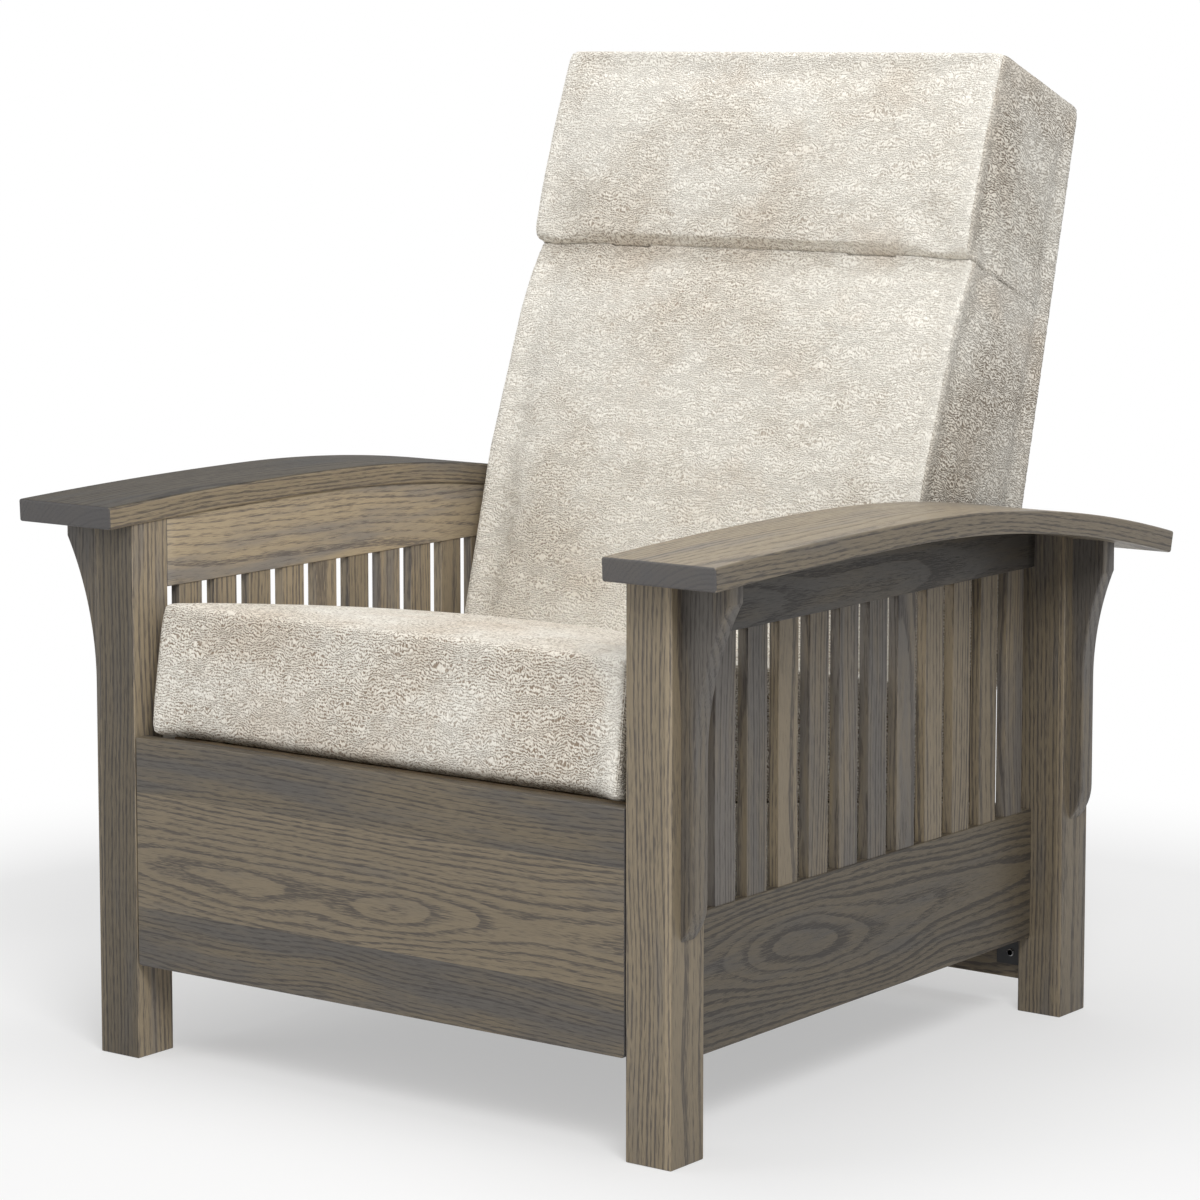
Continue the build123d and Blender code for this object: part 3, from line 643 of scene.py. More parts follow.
def swollen(bm, cap, held):
    """Fills a skin with air as cloth, held along its sewn lines; no point moves further than the cap."""
    draft, scene = placed(bm.copy(), "draft"), bpy.context.scene
    cloth = draft.modifiers.new("Swell", "CLOTH")
    cloth.settings.use_pressure = True
    cloth.settings.uniform_pressure_force = scene.chair_upholstery.pressure
    cloth.settings.effector_weights.gravity = 0.0
    cloth.settings.quality = 4
    for step in range(CLOTH_STEPS):
        scene.frame_set(step + 1)
    filled = draft.evaluated_get(bpy.context.evaluated_depsgraph_get()).data
    moves = [after.co - before.co for after, before in zip(filled.vertices, draft.data.vertices)]
    scene.frame_set(1)
    bpy.data.objects.remove(draft)
    bm.verts.ensure_lookup_table()
    for vertex, move in zip(bm.verts, moves):
        vertex.co += move * min(1.0, cap / max(move.length, 1e-9)) * free_share(held, vertex.co)


def smooth(share):
    """Runs from 0 to 1 with level ends."""
    share = min(max(share, 0.0), 1.0)
    return share * share * (3 - 2 * share)


class Path:
    """A sewn line on a cushion: its points, and what is known at each of them."""

    def __init__(self, points, pulls=None):
        self.points = points
        self.pulls = pulls or [Vector()] * len(points)
        self.tree = KDTree(len(points))
        for index, point in enumerate(points):
            self.tree.insert(point, index)
        self.tree.balance()

    def nearest(self, place):
        """The distance to the line, and the pull at its nearest point."""
        _, index, distance = self.tree.find(place)
        return distance, self.pulls[index]


def dense(corners, step=0.004):
    """Points at even steps along a line through some corners."""
    points = []
    for start, end in zip(corners, corners[1:]):
        parts = max(1, round((end - start).length / step))
        points += [start.lerp(end, index / parts) for index in range(parts)]
    return points + [corners[-1]]


def eased(corners, reach=0.012):
    """The same line with its inner corners cut round."""
    line = [corners[0]]
    for before, point, after in zip(corners, corners[1:], corners[2:]):
        ends = before, after
        start, end = [point.lerp(other, min(reach / (other - point).length, 0.5)) for other in ends]
        line += [start, (start + end) / 4 + point / 2, end]
    return line + [corners[-1]]


def laid(bm, points, sink=0.0):
    """Moves the points of a line onto a skin, or a little into it."""
    tree = BVHTree.FromBMesh(bm)
    places = [tree.find_nearest(point) for point in points]
    return [place - normal * sink for place, normal, _, _ in places]


def pinched(bm, path, width):
    """Draws a skin in along a sewn line."""
    for vertex in bm.verts:
        distance, pull = path.nearest(vertex.co)
        if distance < 3 * width:
            vertex.co += pull * exp(-((distance / width) ** 2))


def drawn(bm, lines, share, width):
    """Draws a skin out towards its sewn lines, so that they stand up as edges."""
    points = [point for line in lines for point in line]
    places = laid(bm, points)
    pulls = [(point - place) * share for point, place in zip(points, places)]
    pinched(bm, Path(places, pulls), width)


def marked_wear_and_light(bm, seams, creases, depth=1.0, wear=0.0, reach=0.030):
    """Notes how worn and how lit each point of a skin is, and how deep its grain: paler by the seams, most by
    the last of them, as wear and painted highlight, and darker by the creases, as painted shade. The grain is
    shallower on top faces and by the seams, partly as painted sheen.
    """
    rub, relief = bm.verts.layers.float.new("rub"), bm.verts.layers.float.new("relief")
    shares = (0.5, 1.5) if len(seams) > 1 else (1.0,)
    bm.normal_update()
    for vertex in bm.verts:
        pale = max(share * exp(-path.nearest(vertex.co)[0] / reach) for share, path in zip(shares, seams))
        dark = max((exp(-path.nearest(vertex.co)[0] / reach) for path in creases), default=0.0)
        vertex[rub] = pale - dark + wear
        smoother = 0.3 * smooth((vertex.normal.z - 0.55) / 0.35) + 0.4 * smooth((pale - 0.5) / 0.8)
        vertex[relief] = depth * (1 - smoother)


def thread(name, points, body, radius):
    """A round welt or thread along a line."""
    curve = bpy.data.curves.new(name, "CURVE")
    curve.dimensions, curve.bevel_depth, curve.bevel_resolution = "3D", radius, 1
    curve.use_fill_caps = True
    line = curve.splines.new("POLY")
    line.points.add(len(points) - 1)
    for point, place in zip(line.points, points):
        point.co = (*place, 1.0)
    draft = bpy.data.objects.new(name, curve)
    bpy.context.scene.collection.objects.link(draft)
    ridge = reopened(applied(draft))
    bmesh.ops.remove_doubles(ridge, verts=ridge.verts, dist=1e-7)
    bmesh.ops.recalc_face_normals(ridge, faces=ridge.faces)
    rub, relief = ridge.verts.layers.float.new("rub"), ridge.verts.layers.float.new("relief")
    for vertex in ridge.verts:
        # The welt is as pale as the seams, which is wear and painted highlight.
        vertex[rub], vertex[relief] = 1.0, 0.7
    for face in ridge.faces:
        face.smooth = True
    return finished(ridge, name, body, upholstery(), ())


def welted(bm, name, body, seams):
    """Draws a skin in along the seams of both sides, and lays a welt in each."""
    bead = bpy.context.scene.chair_upholstery.seam_bead
    for suffix, path in zip(SIDES, seams):
        pinched(bm, path, SEAM_WIDTH)
        thread(name + suffix, laid(bm, path.points, bead * 0.4), body, bead)


def cushion(bm, name, body, replaced):
    """A finished cushion with a smooth skin."""
    for face in bm.faces:
        face.smooth = True
    piece = finished(bm, name, body, upholstery(), replaced)
    return piece


class ChairPiece:
    """What the operators of this add-on share."""

    bl_options = {"REGISTER", "UNDO"}

    def execute(self, context):
        self.make()
        return {"FINISHED"}


class CHAIR_OT_posts(ChairPiece, bpy.types.Operator):
    """Four square posts, each faced with a thin outer board"""

    bl_idname = "chair.posts"
    bl_label = "Posts"

    # Place in the log, tone and warmth of each post
    BOARDS = {
        "post_front_left": (3.1, 0.56, 0.65), "post_front_right": (9.4, 1.08, 0.85),
        "post_rear_left": (14.2, 0.95, 0.60), "post_rear_right": (21.7, 0.90, 0.70),
    }

    def make(self):
        for place in ("front", "rear"):
            for suffix, side in SIDES.items():
                self.post("post_" + place, suffix, side)

    def post(self, stem, suffix, side):
        lowest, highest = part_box(stem + "_right")
        bm = blank(lowest, highest)
        for vertex in bm.verts:
            if vertex.co.z > CREST_HEIGHT / 2:
                vertex.co.z = underside(vertex.co.y)
        glue = [highest.x - joinery().post_lamination]
        glue_lines(bm, X, glue)
        below_arm = CREST_HEIGHT * 0.85

        def free(edge):
            return (edge.verts[0].co.z + edge.verts[1].co.z) / 2 < below_arm

        rounds = ease(bm, joinery().board_easing, keep=free)
        start, tone, warmth = self.BOARDS[stem + suffix]
        core = Cut(start, (0.075, 0.055), (0.004, 0.010), tone, warmth, 0.9, 0.40)
        facing = Cut(start + 7, (-0.11, 0.03), (0.002, 0.004), tone * 1.30, warmth + 0.2, 0.8, 0.3)
        saw(bm, Z, X, [core, facing], rounds, X, glue)
        # Painted shade darkens the outer faces, and on the left posts painted light brightens the inner
        # faces.
        painted_light_by_facing(bm, Vector((1, 0, 0)), 0.70)
        if side < 0:
            painted_light_by_facing(bm, Vector((-1, 0, 0)), 2.9)
        sided(bm, stem, suffix)


class CHAIR_OT_arms(ChairPiece, bpy.types.Operator):
    """Two bent arm boards"""

    bl_idname = "chair.arms"
    bl_label = "Bow arms"
    stations: count("Stations", "Divisions along an arm", 72)

    def make(self):
        for suffix, side in SIDES.items():
            self.arm(suffix, side)

    def arm(self, suffix, side):
        lowest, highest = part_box("arm_right")
        start = bow_radius(-1) * asin((lowest.y - crest_y()) / bow_radius(-1))
        end = bow_radius(1) * asin((highest.y - crest_y()) / bow_radius(1))
        bm = blank(Vector((lowest.x, start, -joinery().arm_thickness)), Vector((highest.x, end, 0)))
        lengthwise(bm, Y, self.stations)
        rounds = ease(bm, joinery().arm_easing, 3)
        pith = (0.002 - 0.064 * side, 0.088)
        # The right arm's tone is raised and the left arm's lowered, as painted highlight and painted shade
        # for the sheen the right arm catches.
        saw(bm, Y, X, [Cut(5.0 + side, pith, (0.004, 0.008), 1.02 + 0.26 * side, 0.6, 0.8, 0.5)], rounds)
        # The outer faces are painted darker and browner as painted shade under the arm's edge; the left arm's
        # inner face is painted lighter as painted light.
        painted_light_by_facing(bm, Vector((1, 0, 0)), 0.60, 0.2)
        painted_light_by_facing(bm, Vector((-1, 0, 0)), 1.0 if side > 0 else 1.7, 0.2)
        # The left arm's top is painted darker, as painted shade for the sheen it lacks, and is made matt.
        if side < 0:
            matt = bm.faces.layers.float.new("matt")
            painted_light_by_facing(bm, Vector((0, 0, 1)), 0.34)
            for face in bm.faces:
                face[matt] = face.normal.z > 0.7
        for vertex in bm.verts:
            vertex.co.y, vertex.co.z = bent(vertex.co.y, vertex.co.z)
        sided(bm, "arm", suffix)


class CHAIR_OT_side_rails(ChairPiece, bpy.types.Operator):
    """Upper and lower rails of both sides"""

    bl_idname = "chair.side_rails"
    bl_label = "Side rails"
    stations: count("Stations", "Divisions along an upper rail", 40)

    def make(self):
        for suffix, side in SIDES.items():
            self.upper(suffix, side)
            self.lower(suffix, side)

    def shoulders(self, node):
        """The rail's box without the tenons that run into the posts."""
        lowest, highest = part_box(node)
        lowest.y, highest.y = FRAME_FRONT + POST_SIZE, FRAME_REAR - POST_SIZE
        return lowest, highest

    def upper(self, suffix, side):
        lowest, highest = self.shoulders("upper_rail_right")
        bm = blank(lowest, highest)
        lengthwise(bm, Y, self.stations)
        for vertex in bm.verts:
            if vertex.co.z > (lowest.z + highest.z) / 2:
                vertex.co.z = underside(vertex.co.y)
        bottom = lowest.z + 0.001
        rounds = ease(bm, joinery().board_easing, keep=lambda edge: max(v.co.z for v in edge.verts) < bottom)
        # The right rail's low tone is painted shade under the arm, and the left rail's high tone and lighter
        # inner face are painted light.
        pith, tone = ((0.020, 0.062), 0.44) if side > 0 else ((0.062, 0.100), 1.15)
        saw(bm, Y, Z, [Cut(30.0 + side, pith, (0.01, 0.015), tone, 0.5 - 0.2 * side, 0.72, 0.45)], rounds)
        if side < 0:
            painted_light_by_facing(bm, Vector((-1, 0, 0)), 1.7)
        sided(bm, "upper_rail", suffix)

    def lower(self, suffix, side):
        lowest, highest = self.shoulders("lower_rail_right")
        bm = blank(lowest, highest)
        rounds = ease(bm, joinery().board_easing)
        # The low tone of the lower rails is partly a darker board and partly painted shade.
        saw(bm, Y, Z, [Cut(23.6 + side, (-0.004, 0.050), (0.006, 0.012), 0.51, 0.72, 1.0, 0.85)], rounds)
        sided(bm, "lower_rail", suffix)


class CHAIR_OT_slats(ChairPiece, bpy.types.Operator):
    """Twelve slats between the rails of each side"""

    bl_idname = "chair.slats"
    bl_label = "Slats"
    count: count("Count", "Slats on each side", 12)
    width: length("Width", "Width of a slat", 0.0375)

    def make(self):
        for suffix in SIDES:
            whole = bmesh.new()
            timber = random.Random("slats" + suffix)
            for index in range(self.count):
                self.slat(whole, index, timber)
            sided(whole, "slats", suffix, "_boards")

    def slat(self, whole, index, timber):
        start, end = FRAME_FRONT + POST_SIZE, FRAME_REAR - POST_SIZE
        gap = (end - start - self.count * self.width) / (self.count + 1)
        y = start + gap + index * (self.width + gap)
        lowest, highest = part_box("slats_right")
        bottom, top = high("lower_rail_right").z, low("upper_rail_right").z
        bm = blank(Vector((lowest.x, y, bottom)), Vector((highest.x, y + self.width, top)))

        def upright(edge):
            return abs(edge.verts[0].co.z - edge.verts[1].co.z) > 0.01

        rounds = ease(bm, joinery().slat_easing, keep=upright)
        pith = timber.choice(((0.09, 0.05), (-0.08, 0.03), (0.05, 0.07), (0.012, 0.06)))
        tone, warmth = timber.uniform(0.82, 1.12), timber.uniform(0.25, 0.95)
        start, lean = timber.uniform(0, 40), (timber.uniform(-0.006, 0.006), 0.010)
        cut = Cut(start, pith, lean, tone, warmth, 0.9, 0.45)
        saw(bm, Z, Y, [cut], rounds)
        # The front edges and the inner faces of the slats are painted lighter, as painted light falling
        # between the slats and on the inside.
        painted_light_by_facing(bm, Vector((0, -1, 0)), 1.3)
        painted_light_by_facing(bm, Vector((-1, 0, 0)), 1.5, 0.2)
        part = bpy.data.meshes.new("slat")
        bm.to_mesh(part)
        bm.free()
        whole.from_mesh(part)
        bpy.data.meshes.remove(part)


class CHAIR_OT_corbels(ChairPiece, bpy.types.Operator):
    """Four swept corbels under the arms"""

    bl_idname = "chair.corbels"
    bl_label = "Corbels"
    foot_reach: length("Leg reach", "How far the straight leg stands out", 0.016)
    sweep_radius: length("Sweep radius", "Radius of the hollow sweep", 0.340)
    toe_height: length("Toe height", "Height of the rounded toe", 0.040)

    def make(self):
        for stem, flat in (("corbel_front", 0.0225), ("corbel_rear", 0.034)):
            for suffix, side in SIDES.items():
                self.corbel(stem, flat, suffix, side)

    def outline(self, lowest, highest, flat):
        """The corbel's side outline, from the post at the top, round the sweep, to the toe."""
        wall, nose, foot = lowest.x, highest.x, lowest.x + self.foot_reach
        middle = (lowest.y + highest.y) / 2
        flat_end = underside(middle) - flat
        radius, steps = self.sweep_radius, 20
        full = radians(90) - asin(1 - (nose - foot) / radius)
        sweep_end = flat_end - radius * sin(full)
        points = [(wall, CREST_HEIGHT), (nose, CREST_HEIGHT)]
        for index in range(steps + 1):
            turn = full * (1 - index / steps)
            points.append((foot + radius * (1 - cos(turn)), sweep_end + radius * sin(turn)))
        toe_start, steps = lowest.z + self.toe_height, 8
        toe_radius = (self.foot_reach**2 + self.toe_height**2) / (2 * self.foot_reach)
        full = asin(self.toe_height / toe_radius)
        for index in range(steps + 1):
            turn = full * index / steps
            points.append((foot - toe_radius * (1 - cos(turn)), toe_start - toe_radius * sin(turn)))
        return points

    def corbel(self, stem, flat, suffix, side):
        lowest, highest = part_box(stem + "_right")
        bm = bmesh.new()
        outline = [bm.verts.new((x, lowest.y, z)) for x, z in self.outline(lowest, highest, flat)]
        drawn_out(bm, bm.faces.new(outline), (0, highest.y - lowest.y, 0))
        bmesh.ops.recalc_face_normals(bm, faces=bm.faces)
        for vertex in bm.verts:
            if vertex.co.z > CREST_HEIGHT - 0.0001:
                vertex.co.z = underside(vertex.co.y)
        top = underside(highest.y) - 0.003

        def outer(edge):
            ends = edge.verts[0].co, edge.verts[1].co
            return min(end.z for end in ends) < top and max(end.x for end in ends) > lowest.x + 0.001

        rounds = ease(bm, joinery().corbel_easing, keep=outer)
        saw(bm, Z, X, [Cut(26.0 + side, (0.06, 0.03), (0.0, 0.01), 0.84, 0.35, 0.8, 0.4)], rounds)
        sided(bm, stem, suffix).data.set_sharp_from_angle(angle=radians(50))


class CHAIR_OT_front_panel(ChairPiece, bpy.types.Operator):
    """The front panel, glued up from three boards"""

    bl_idname = "chair.front_panel"
    bl_label = "Front panel"

    def make(self):
        lowest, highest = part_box("front_panel")
        bm = blank(lowest, highest)
        height = highest.z - lowest.z
        glue = [lowest.z + height * share for share in (0.26, 0.76)]
        corners = [edge for edge in bm.edges if abs(edge.verts[0].co.y - edge.verts[1].co.y) > 0.01]
        corners = [edge for edge in corners if edge.verts[0].co.z < lowest.z + 0.001]
        bmesh.ops.bevel(bm, geom=corners, offset=0.004, segments=4, profile=0.5, affect="EDGES", material=-1)
        glue_lines(bm, Z, glue)
        rounds = ease(bm, joinery().board_easing)
        bottom = Cut(12.6, (-0.085, 0.055), (0.016, 0.010), 0.74, 0.52, 0.85)
        main = Cut(2.0, (0.010, 0.050), (0.004, 0.004), 0.92, 0.74, 0.85)
        top = Cut(33.0, (0.110, 0.050), (0.004, 0.010), 0.74, 0.52, 0.75, 0.7)
        saw(bm, X, Z, [bottom, main, top], rounds, Z, glue)
        wooden(bm, "front_panel_board", ["front_panel"], "footrest")


class CHAIR_OT_rear_rail(ChairPiece, bpy.types.Operator):
    """The low rail between the rear posts"""

    bl_idname = "chair.rear_rail"
    bl_label = "Rear rail"

    def make(self):
        lowest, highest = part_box("rear_rail")
        inner = low("post_rear_right").x
        lowest.x, highest.x = -inner, inner
        bm = blank(lowest, highest)
        rounds = ease(bm, joinery().board_easing)
        saw(bm, X, Z, [Cut(8.0, (0.01, 0.06), (0.01, 0.02), 1.0, 0.7)], rounds)
        wooden(bm, "rear_rail_board", ["rear_rail"])


class CHAIR_OT_seat_cushion(ChairPiece, bpy.types.Operator):
    """The box cushion of the seat"""

    bl_idname = "chair.seat_cushion"
    bl_label = "Seat cushion"
    voxel: length("Mesh size", "Size of the mesh's squares", 0.007)
    cap: length("Swell", "Most that a point may swell", 0.008)
    lift: length("Front lift", "How much fuller than its solid the front is", 0.009)

    def make(self):
        node = "seat_cushion"
        front_low, rear_low = corner(node, 5, -1, -1), corner(node, 5, 1, -1)
        front_top, rear_top = corner(node, 5, -1, 1), corner(node, 5, 1, 1)
        rise, back = front_top - front_low, rear_low - front_low

        def lifted(point):
            offset = point - front_low
            share = smooth(offset.dot(rise) / rise.length_squared)
            share *= 1 - smooth(offset.dot(back) / back.length_squared)
            return point + rise.normalized() * self.lift * share

        sewn, edges = [], []
        for side in SIDES.values():
            loop = front_low, front_top, rear_top, rear_low
            loop = [Vector((side * point.x, *point.yz)) for point in loop]
            middle = loop[0].lerp(loop[3], 0.5)
            sewn.append(dense(eased(loop[:3])))
            edges.append(dense(eased([middle, *loop, middle])))
        held = Path([point for line in edges for point in line])
        bm = skin(solids(node), self.voxel, -underside_lean(node))
        rounded(bm, 2)
        shrunk(bm, self.cap * 0.3, held)
        swollen(bm, self.cap, held)
        rounded(bm, 1)
        bm = refined(bm)
        front_edge = dense([Vector((side * (front_top.x - 0.020), *front_top.yz)) for side in (-1, 1)])
        drawn(bm, [front_edge], 0.70, 0.024)
        drawn(bm, edges, 0.55, 0.014)
        drawn(bm, edges, 0.35, 0.006)
        for vertex in bm.verts:
            vertex.co = lifted(vertex.co)
            depth = (vertex.co - front_low).dot(rise) / rise.length_squared
            if depth < 0:
                vertex.co -= rise * depth
        seams = []
        for line, side in zip(sewn, SIDES.values()):
            inwards = Vector((-side, 0.6, -0.3)).normalized() * SEAM_DEPTH
            seams.append(Path(laid(bm, [lifted(point) for point in line]), [inwards] * len(line)))
        welted(bm, "seat_cushion_welt", "frame", seams)
        marked_wear_and_light(bm, seams, (), 1.3, -0.25)
        cushion(bm, "seat_cushion_cover", "frame", [node])


class CHAIR_OT_back(ChairPiece, bpy.types.Operator):
    """The padded back with its head pillow, under one cover"""

    bl_idname = "chair.back"
    bl_label = "Back"
    voxel: length("Mesh size", "Size of the mesh's squares", 0.006)
    cap: length("Swell", "Most that a point may swell", 0.006)
    crease_depth: length("Crease depth", "Pull of the sewn crease under the pillow", 0.012)
    crease_slope: angle("Crease slope", "Fall of the crease along the side", radians(24))
    crease_share: number("Crease length", "Share of the side's depth that the crease crosses", 0.62)

    def outline(self):
        """The side outline as y, z and the crown that the middle has there."""
        shell, filling, pillow = "back_shell", "back_cushion", "head_pillow"
        rear_foot, rear_top = corner(shell, 0, 1, -2), corner(shell, 0, 1, 0.5) - Vector((0, 0.010, 0))
        front_foot = corner(filling, 0, -1, -3)
        front_top = corner(pillow, 5, -0.2, 1)
        lip = corner(pillow, 5, -1, -0.1)
        up = (front_top - lip).normalized()
        out = Vector((0, -up.z, up.y))
        front_top.y -= 0.008
        notch = lip - up * 0.005 - out * 0.036
        seat_crease = corner("seat_cushion", 5, 1, 1) + Vector((0, 0.003, 0))
        shoulder = lip - up * 0.090 - out * 0.008
        points = [
            (rear_foot, 0.0),
            (rear_top, 0.0),
            (front_top, 0.002),
            (front_top.lerp(lip, 0.40) + out * 0.004, 0.007),
            (front_top.lerp(lip, 0.75) + out * 0.003, 0.006),
            (lip + up * 0.012, 0.004),
            (lip + up * 0.003 - out * 0.0015, 0.004),
            (lip - up * 0.003 - out * 0.008, 0.002),
            (notch, 0.0),
            (lip - up * 0.015 - out * 0.020, 0.002),
            (lip - up * 0.040 - out * 0.0135, 0.004),
            (shoulder, 0.006),
            (shoulder.lerp(seat_crease, 0.45) + out * 0.010, 0.012),
            (seat_crease, 0.006),
            (front_foot, 0.0),
        ]
        return points, notch, out

    def block(self, half, steps=12):
        """The outline drawn out across the chair, with its front crowned."""
        points, notch, out = self.outline()
        bm = bmesh.new()
        ring = [bm.verts.new((-half, point.y, point.z)) for point, _ in points]
        crowns = {tuple(vertex.co.yz): crown for vertex, (_, crown) in zip(ring, points)}
        face = bm.faces.new(ring)
        for _ in range(steps):
            face = drawn_out(bm, face, (2 * half / steps, 0, 0))
        for vertex in bm.verts:
            vertex.co += out * crowns[tuple(vertex.co.yz)] * (1 - (vertex.co.x / half) ** 2)
        bmesh.ops.recalc_face_normals(bm, faces=bm.faces)
        return bm, notch, out

    def crease(self, half, notch, out):
        """The sewn crease: across the front, and along both sides until it runs out."""
        depth = (high("back_shell").y - notch.y) * self.crease_share
        points, pulls = [], []
        for point in dense([Vector((-half, *notch.yz)), Vector((half, *notch.yz))]):
            points.append(point)
            edge = min(1.0, (half - abs(point.x)) / 0.02)
            pulls.append(out * -self.crease_depth * 0.35 * (0.4 + 0.6 * max(edge, 0.0)))
        for side in SIDES.values():
            start = Vector((side * half, *notch.yz)) + out * 0.004
            end = start + Vector((0, depth, -depth * sin(self.crease_slope)))
            line = dense([start, end])
            for index, point in enumerate(line):
                fade = 1 - (index / len(line)) ** 1.2
                points.append(point)
                pulls.append(Vector((-side, 0, 0)) * self.crease_depth * 0.12 * fade)
        return Path(points, pulls)

    def make(self):
        half = high("back_shell").x
        bm, notch, out = self.block(half)
        edges = self.edges(half)
        held = Path([point for line in edges for point in line])
        bm = skin(bm, self.voxel, atan2(-out.z, -out.y))
        rounded(bm, 2)
        shrunk(bm, self.cap * 0.8, held)
        swollen(bm, self.cap, held)
        bm = refined(bm)
        drawn(bm, edges, 0.60, 0.014)
        drawn(bm, edges, 0.40, 0.006)
        self.tucked(bm, notch, out)
        crease = self.crease(half, notch, out)
        pinched(bm, crease, 0.006)
        self.stitched(bm, half, notch, out)
        seams = self.seams(bm, half)
        welted(bm, "back_welt", "back", seams)
        marked_wear_and_light(bm, seams, [crease], 0.94, 0.20)
        cushion(bm, "back_cover", "back", ["back_shell", "back_cushion", "head_pillow"])

    def tucked(self, bm, notch, out):
        """Rounds the pillow's underside down to the crease, and fills the cushion up to it from below."""
        up = Vector((0, out.z, -out.y))
        level, bend, curl, below = 0.016, 0.020, 0.016, 0.030
        bm.normal_update()
        moves = []
        for vertex in bm.verts:
            offset = vertex.co - Vector((vertex.co.x, *notch.yz))
            rise, reach = offset.dot(up), offset.dot(out)
            if 0 < rise < 0.026 and 0 < reach < level + bend:
                hollow = sqrt(1 - (max(reach - level, 0) / bend) ** 2)
                share = smooth((-vertex.normal.dot(up) - 0.15) / 0.35)
                moves.append((vertex, -up * max(rise - 0.001 - curl * (1 - hollow), 0) * share))
            elif -below < rise <= 0 and -0.012 < reach < below:
                wanted = 0.0110 + 0.012 * (1 - exp(rise / 0.018))
                share = smooth(vertex.normal.dot(out + up) / 0.5) * (1 - smooth(-rise / below))
                moves.append((vertex, out * max(wanted - reach, 0) * share))
        for vertex, move in moves:
            vertex.co += move

    def stitched(self, bm, half, notch, out):
        """Cuts the crease sharp: one row of points is drawn in across the front and along both sides."""
        slope = Vector((0, sin(self.crease_slope), cos(self.crease_slope)))
        margin, front = 0.006, 0.030
        geometry = bm.verts[:] + bm.edges[:] + bm.faces[:]
        result = bmesh.ops.bisect_plane(bm, geom=geometry, dist=1e-5, plane_co=notch, plane_no=slope)
        depth = (high("back_shell").y - notch.y) * self.crease_share
        for vertex in [element for element in result["geom_cut"] if isinstance(element, bmesh.types.BMVert)]:
            back = vertex.co.y - notch.y
            if vertex.co.x**2 < (half - margin) ** 2 and back < front:
                vertex.co -= out * self.crease_depth * 0.8
            elif back < depth:
                fade = 1 - max(back / depth, 0) ** 1.2
                vertex.co.x -= (self.crease_depth * 0.35 * fade) * (1 if vertex.co.x > 0 else -1)

    def edges(self, half):
        """The corners down both sides, apart from the crease, and the edges across the top."""
        outline, notch, out = self.outline()
        points = [point for point, _ in outline]
        runs = points[:6], [notch + out * 0.011] + points[9:] + points[:1]
        lines = []
        for side in SIDES.values():
            lines += [eased([Vector((side * half, *point.yz)) for point in run]) for run in runs]
        for point in points[1:3]:
            lines.append([Vector((side * (half - 0.012), *point.yz)) for side in (-1, 1)])
        return [dense(line) for line in lines]

    def seams(self, bm, half):
        """The seams between the front cover and the side boxing."""
        points = [point for point, _ in self.outline()[0]][1:-1]
        seams = []
        for side in SIDES.values():
            line = laid(bm, dense([Vector((side * half, *point.yz)) for point in points]))
            inwards = Vector((-side, 0.5, -0.2)).normalized() * SEAM_DEPTH
            seams.append(Path(line, [inwards] * len(line)))
        return seams


class CHAIR_OT_footrest_pad(ChairPiece, bpy.types.Operator):
    """The pad in the pull-out footrest"""

    bl_idname = "chair.footrest_pad"
    bl_label = "Footrest pad"
    voxel: length("Mesh size", "Size of the mesh's squares", 0.009)
    cap: length("Swell", "Most that a point may swell", 0.003)

    def make(self):
        node = "footrest_pad"
        bm = skin(solids(node), self.voxel, -underside_lean(node))
        rounded(bm, 3)
        rim = dense([corner(node, x, y, 1) for x, y in ((-5, -1), (5, -1), (5, 1), (-5, 1), (-5, -1))])
        held = Path(rim)
        shrunk(bm, self.cap, held)
        swollen(bm, self.cap, held)
        drawn(bm, [rim], 0.6, 0.012)
        seam = Path(laid(bm, rim))
        bead = bpy.context.scene.chair_upholstery.seam_bead * 1.5
        thread("footrest_pad_welt", seam.points, "footrest", bead)
        marked_wear_and_light(bm, [seam], ())
        cushion(bm, "footrest_pad_cover", "footrest", [node])


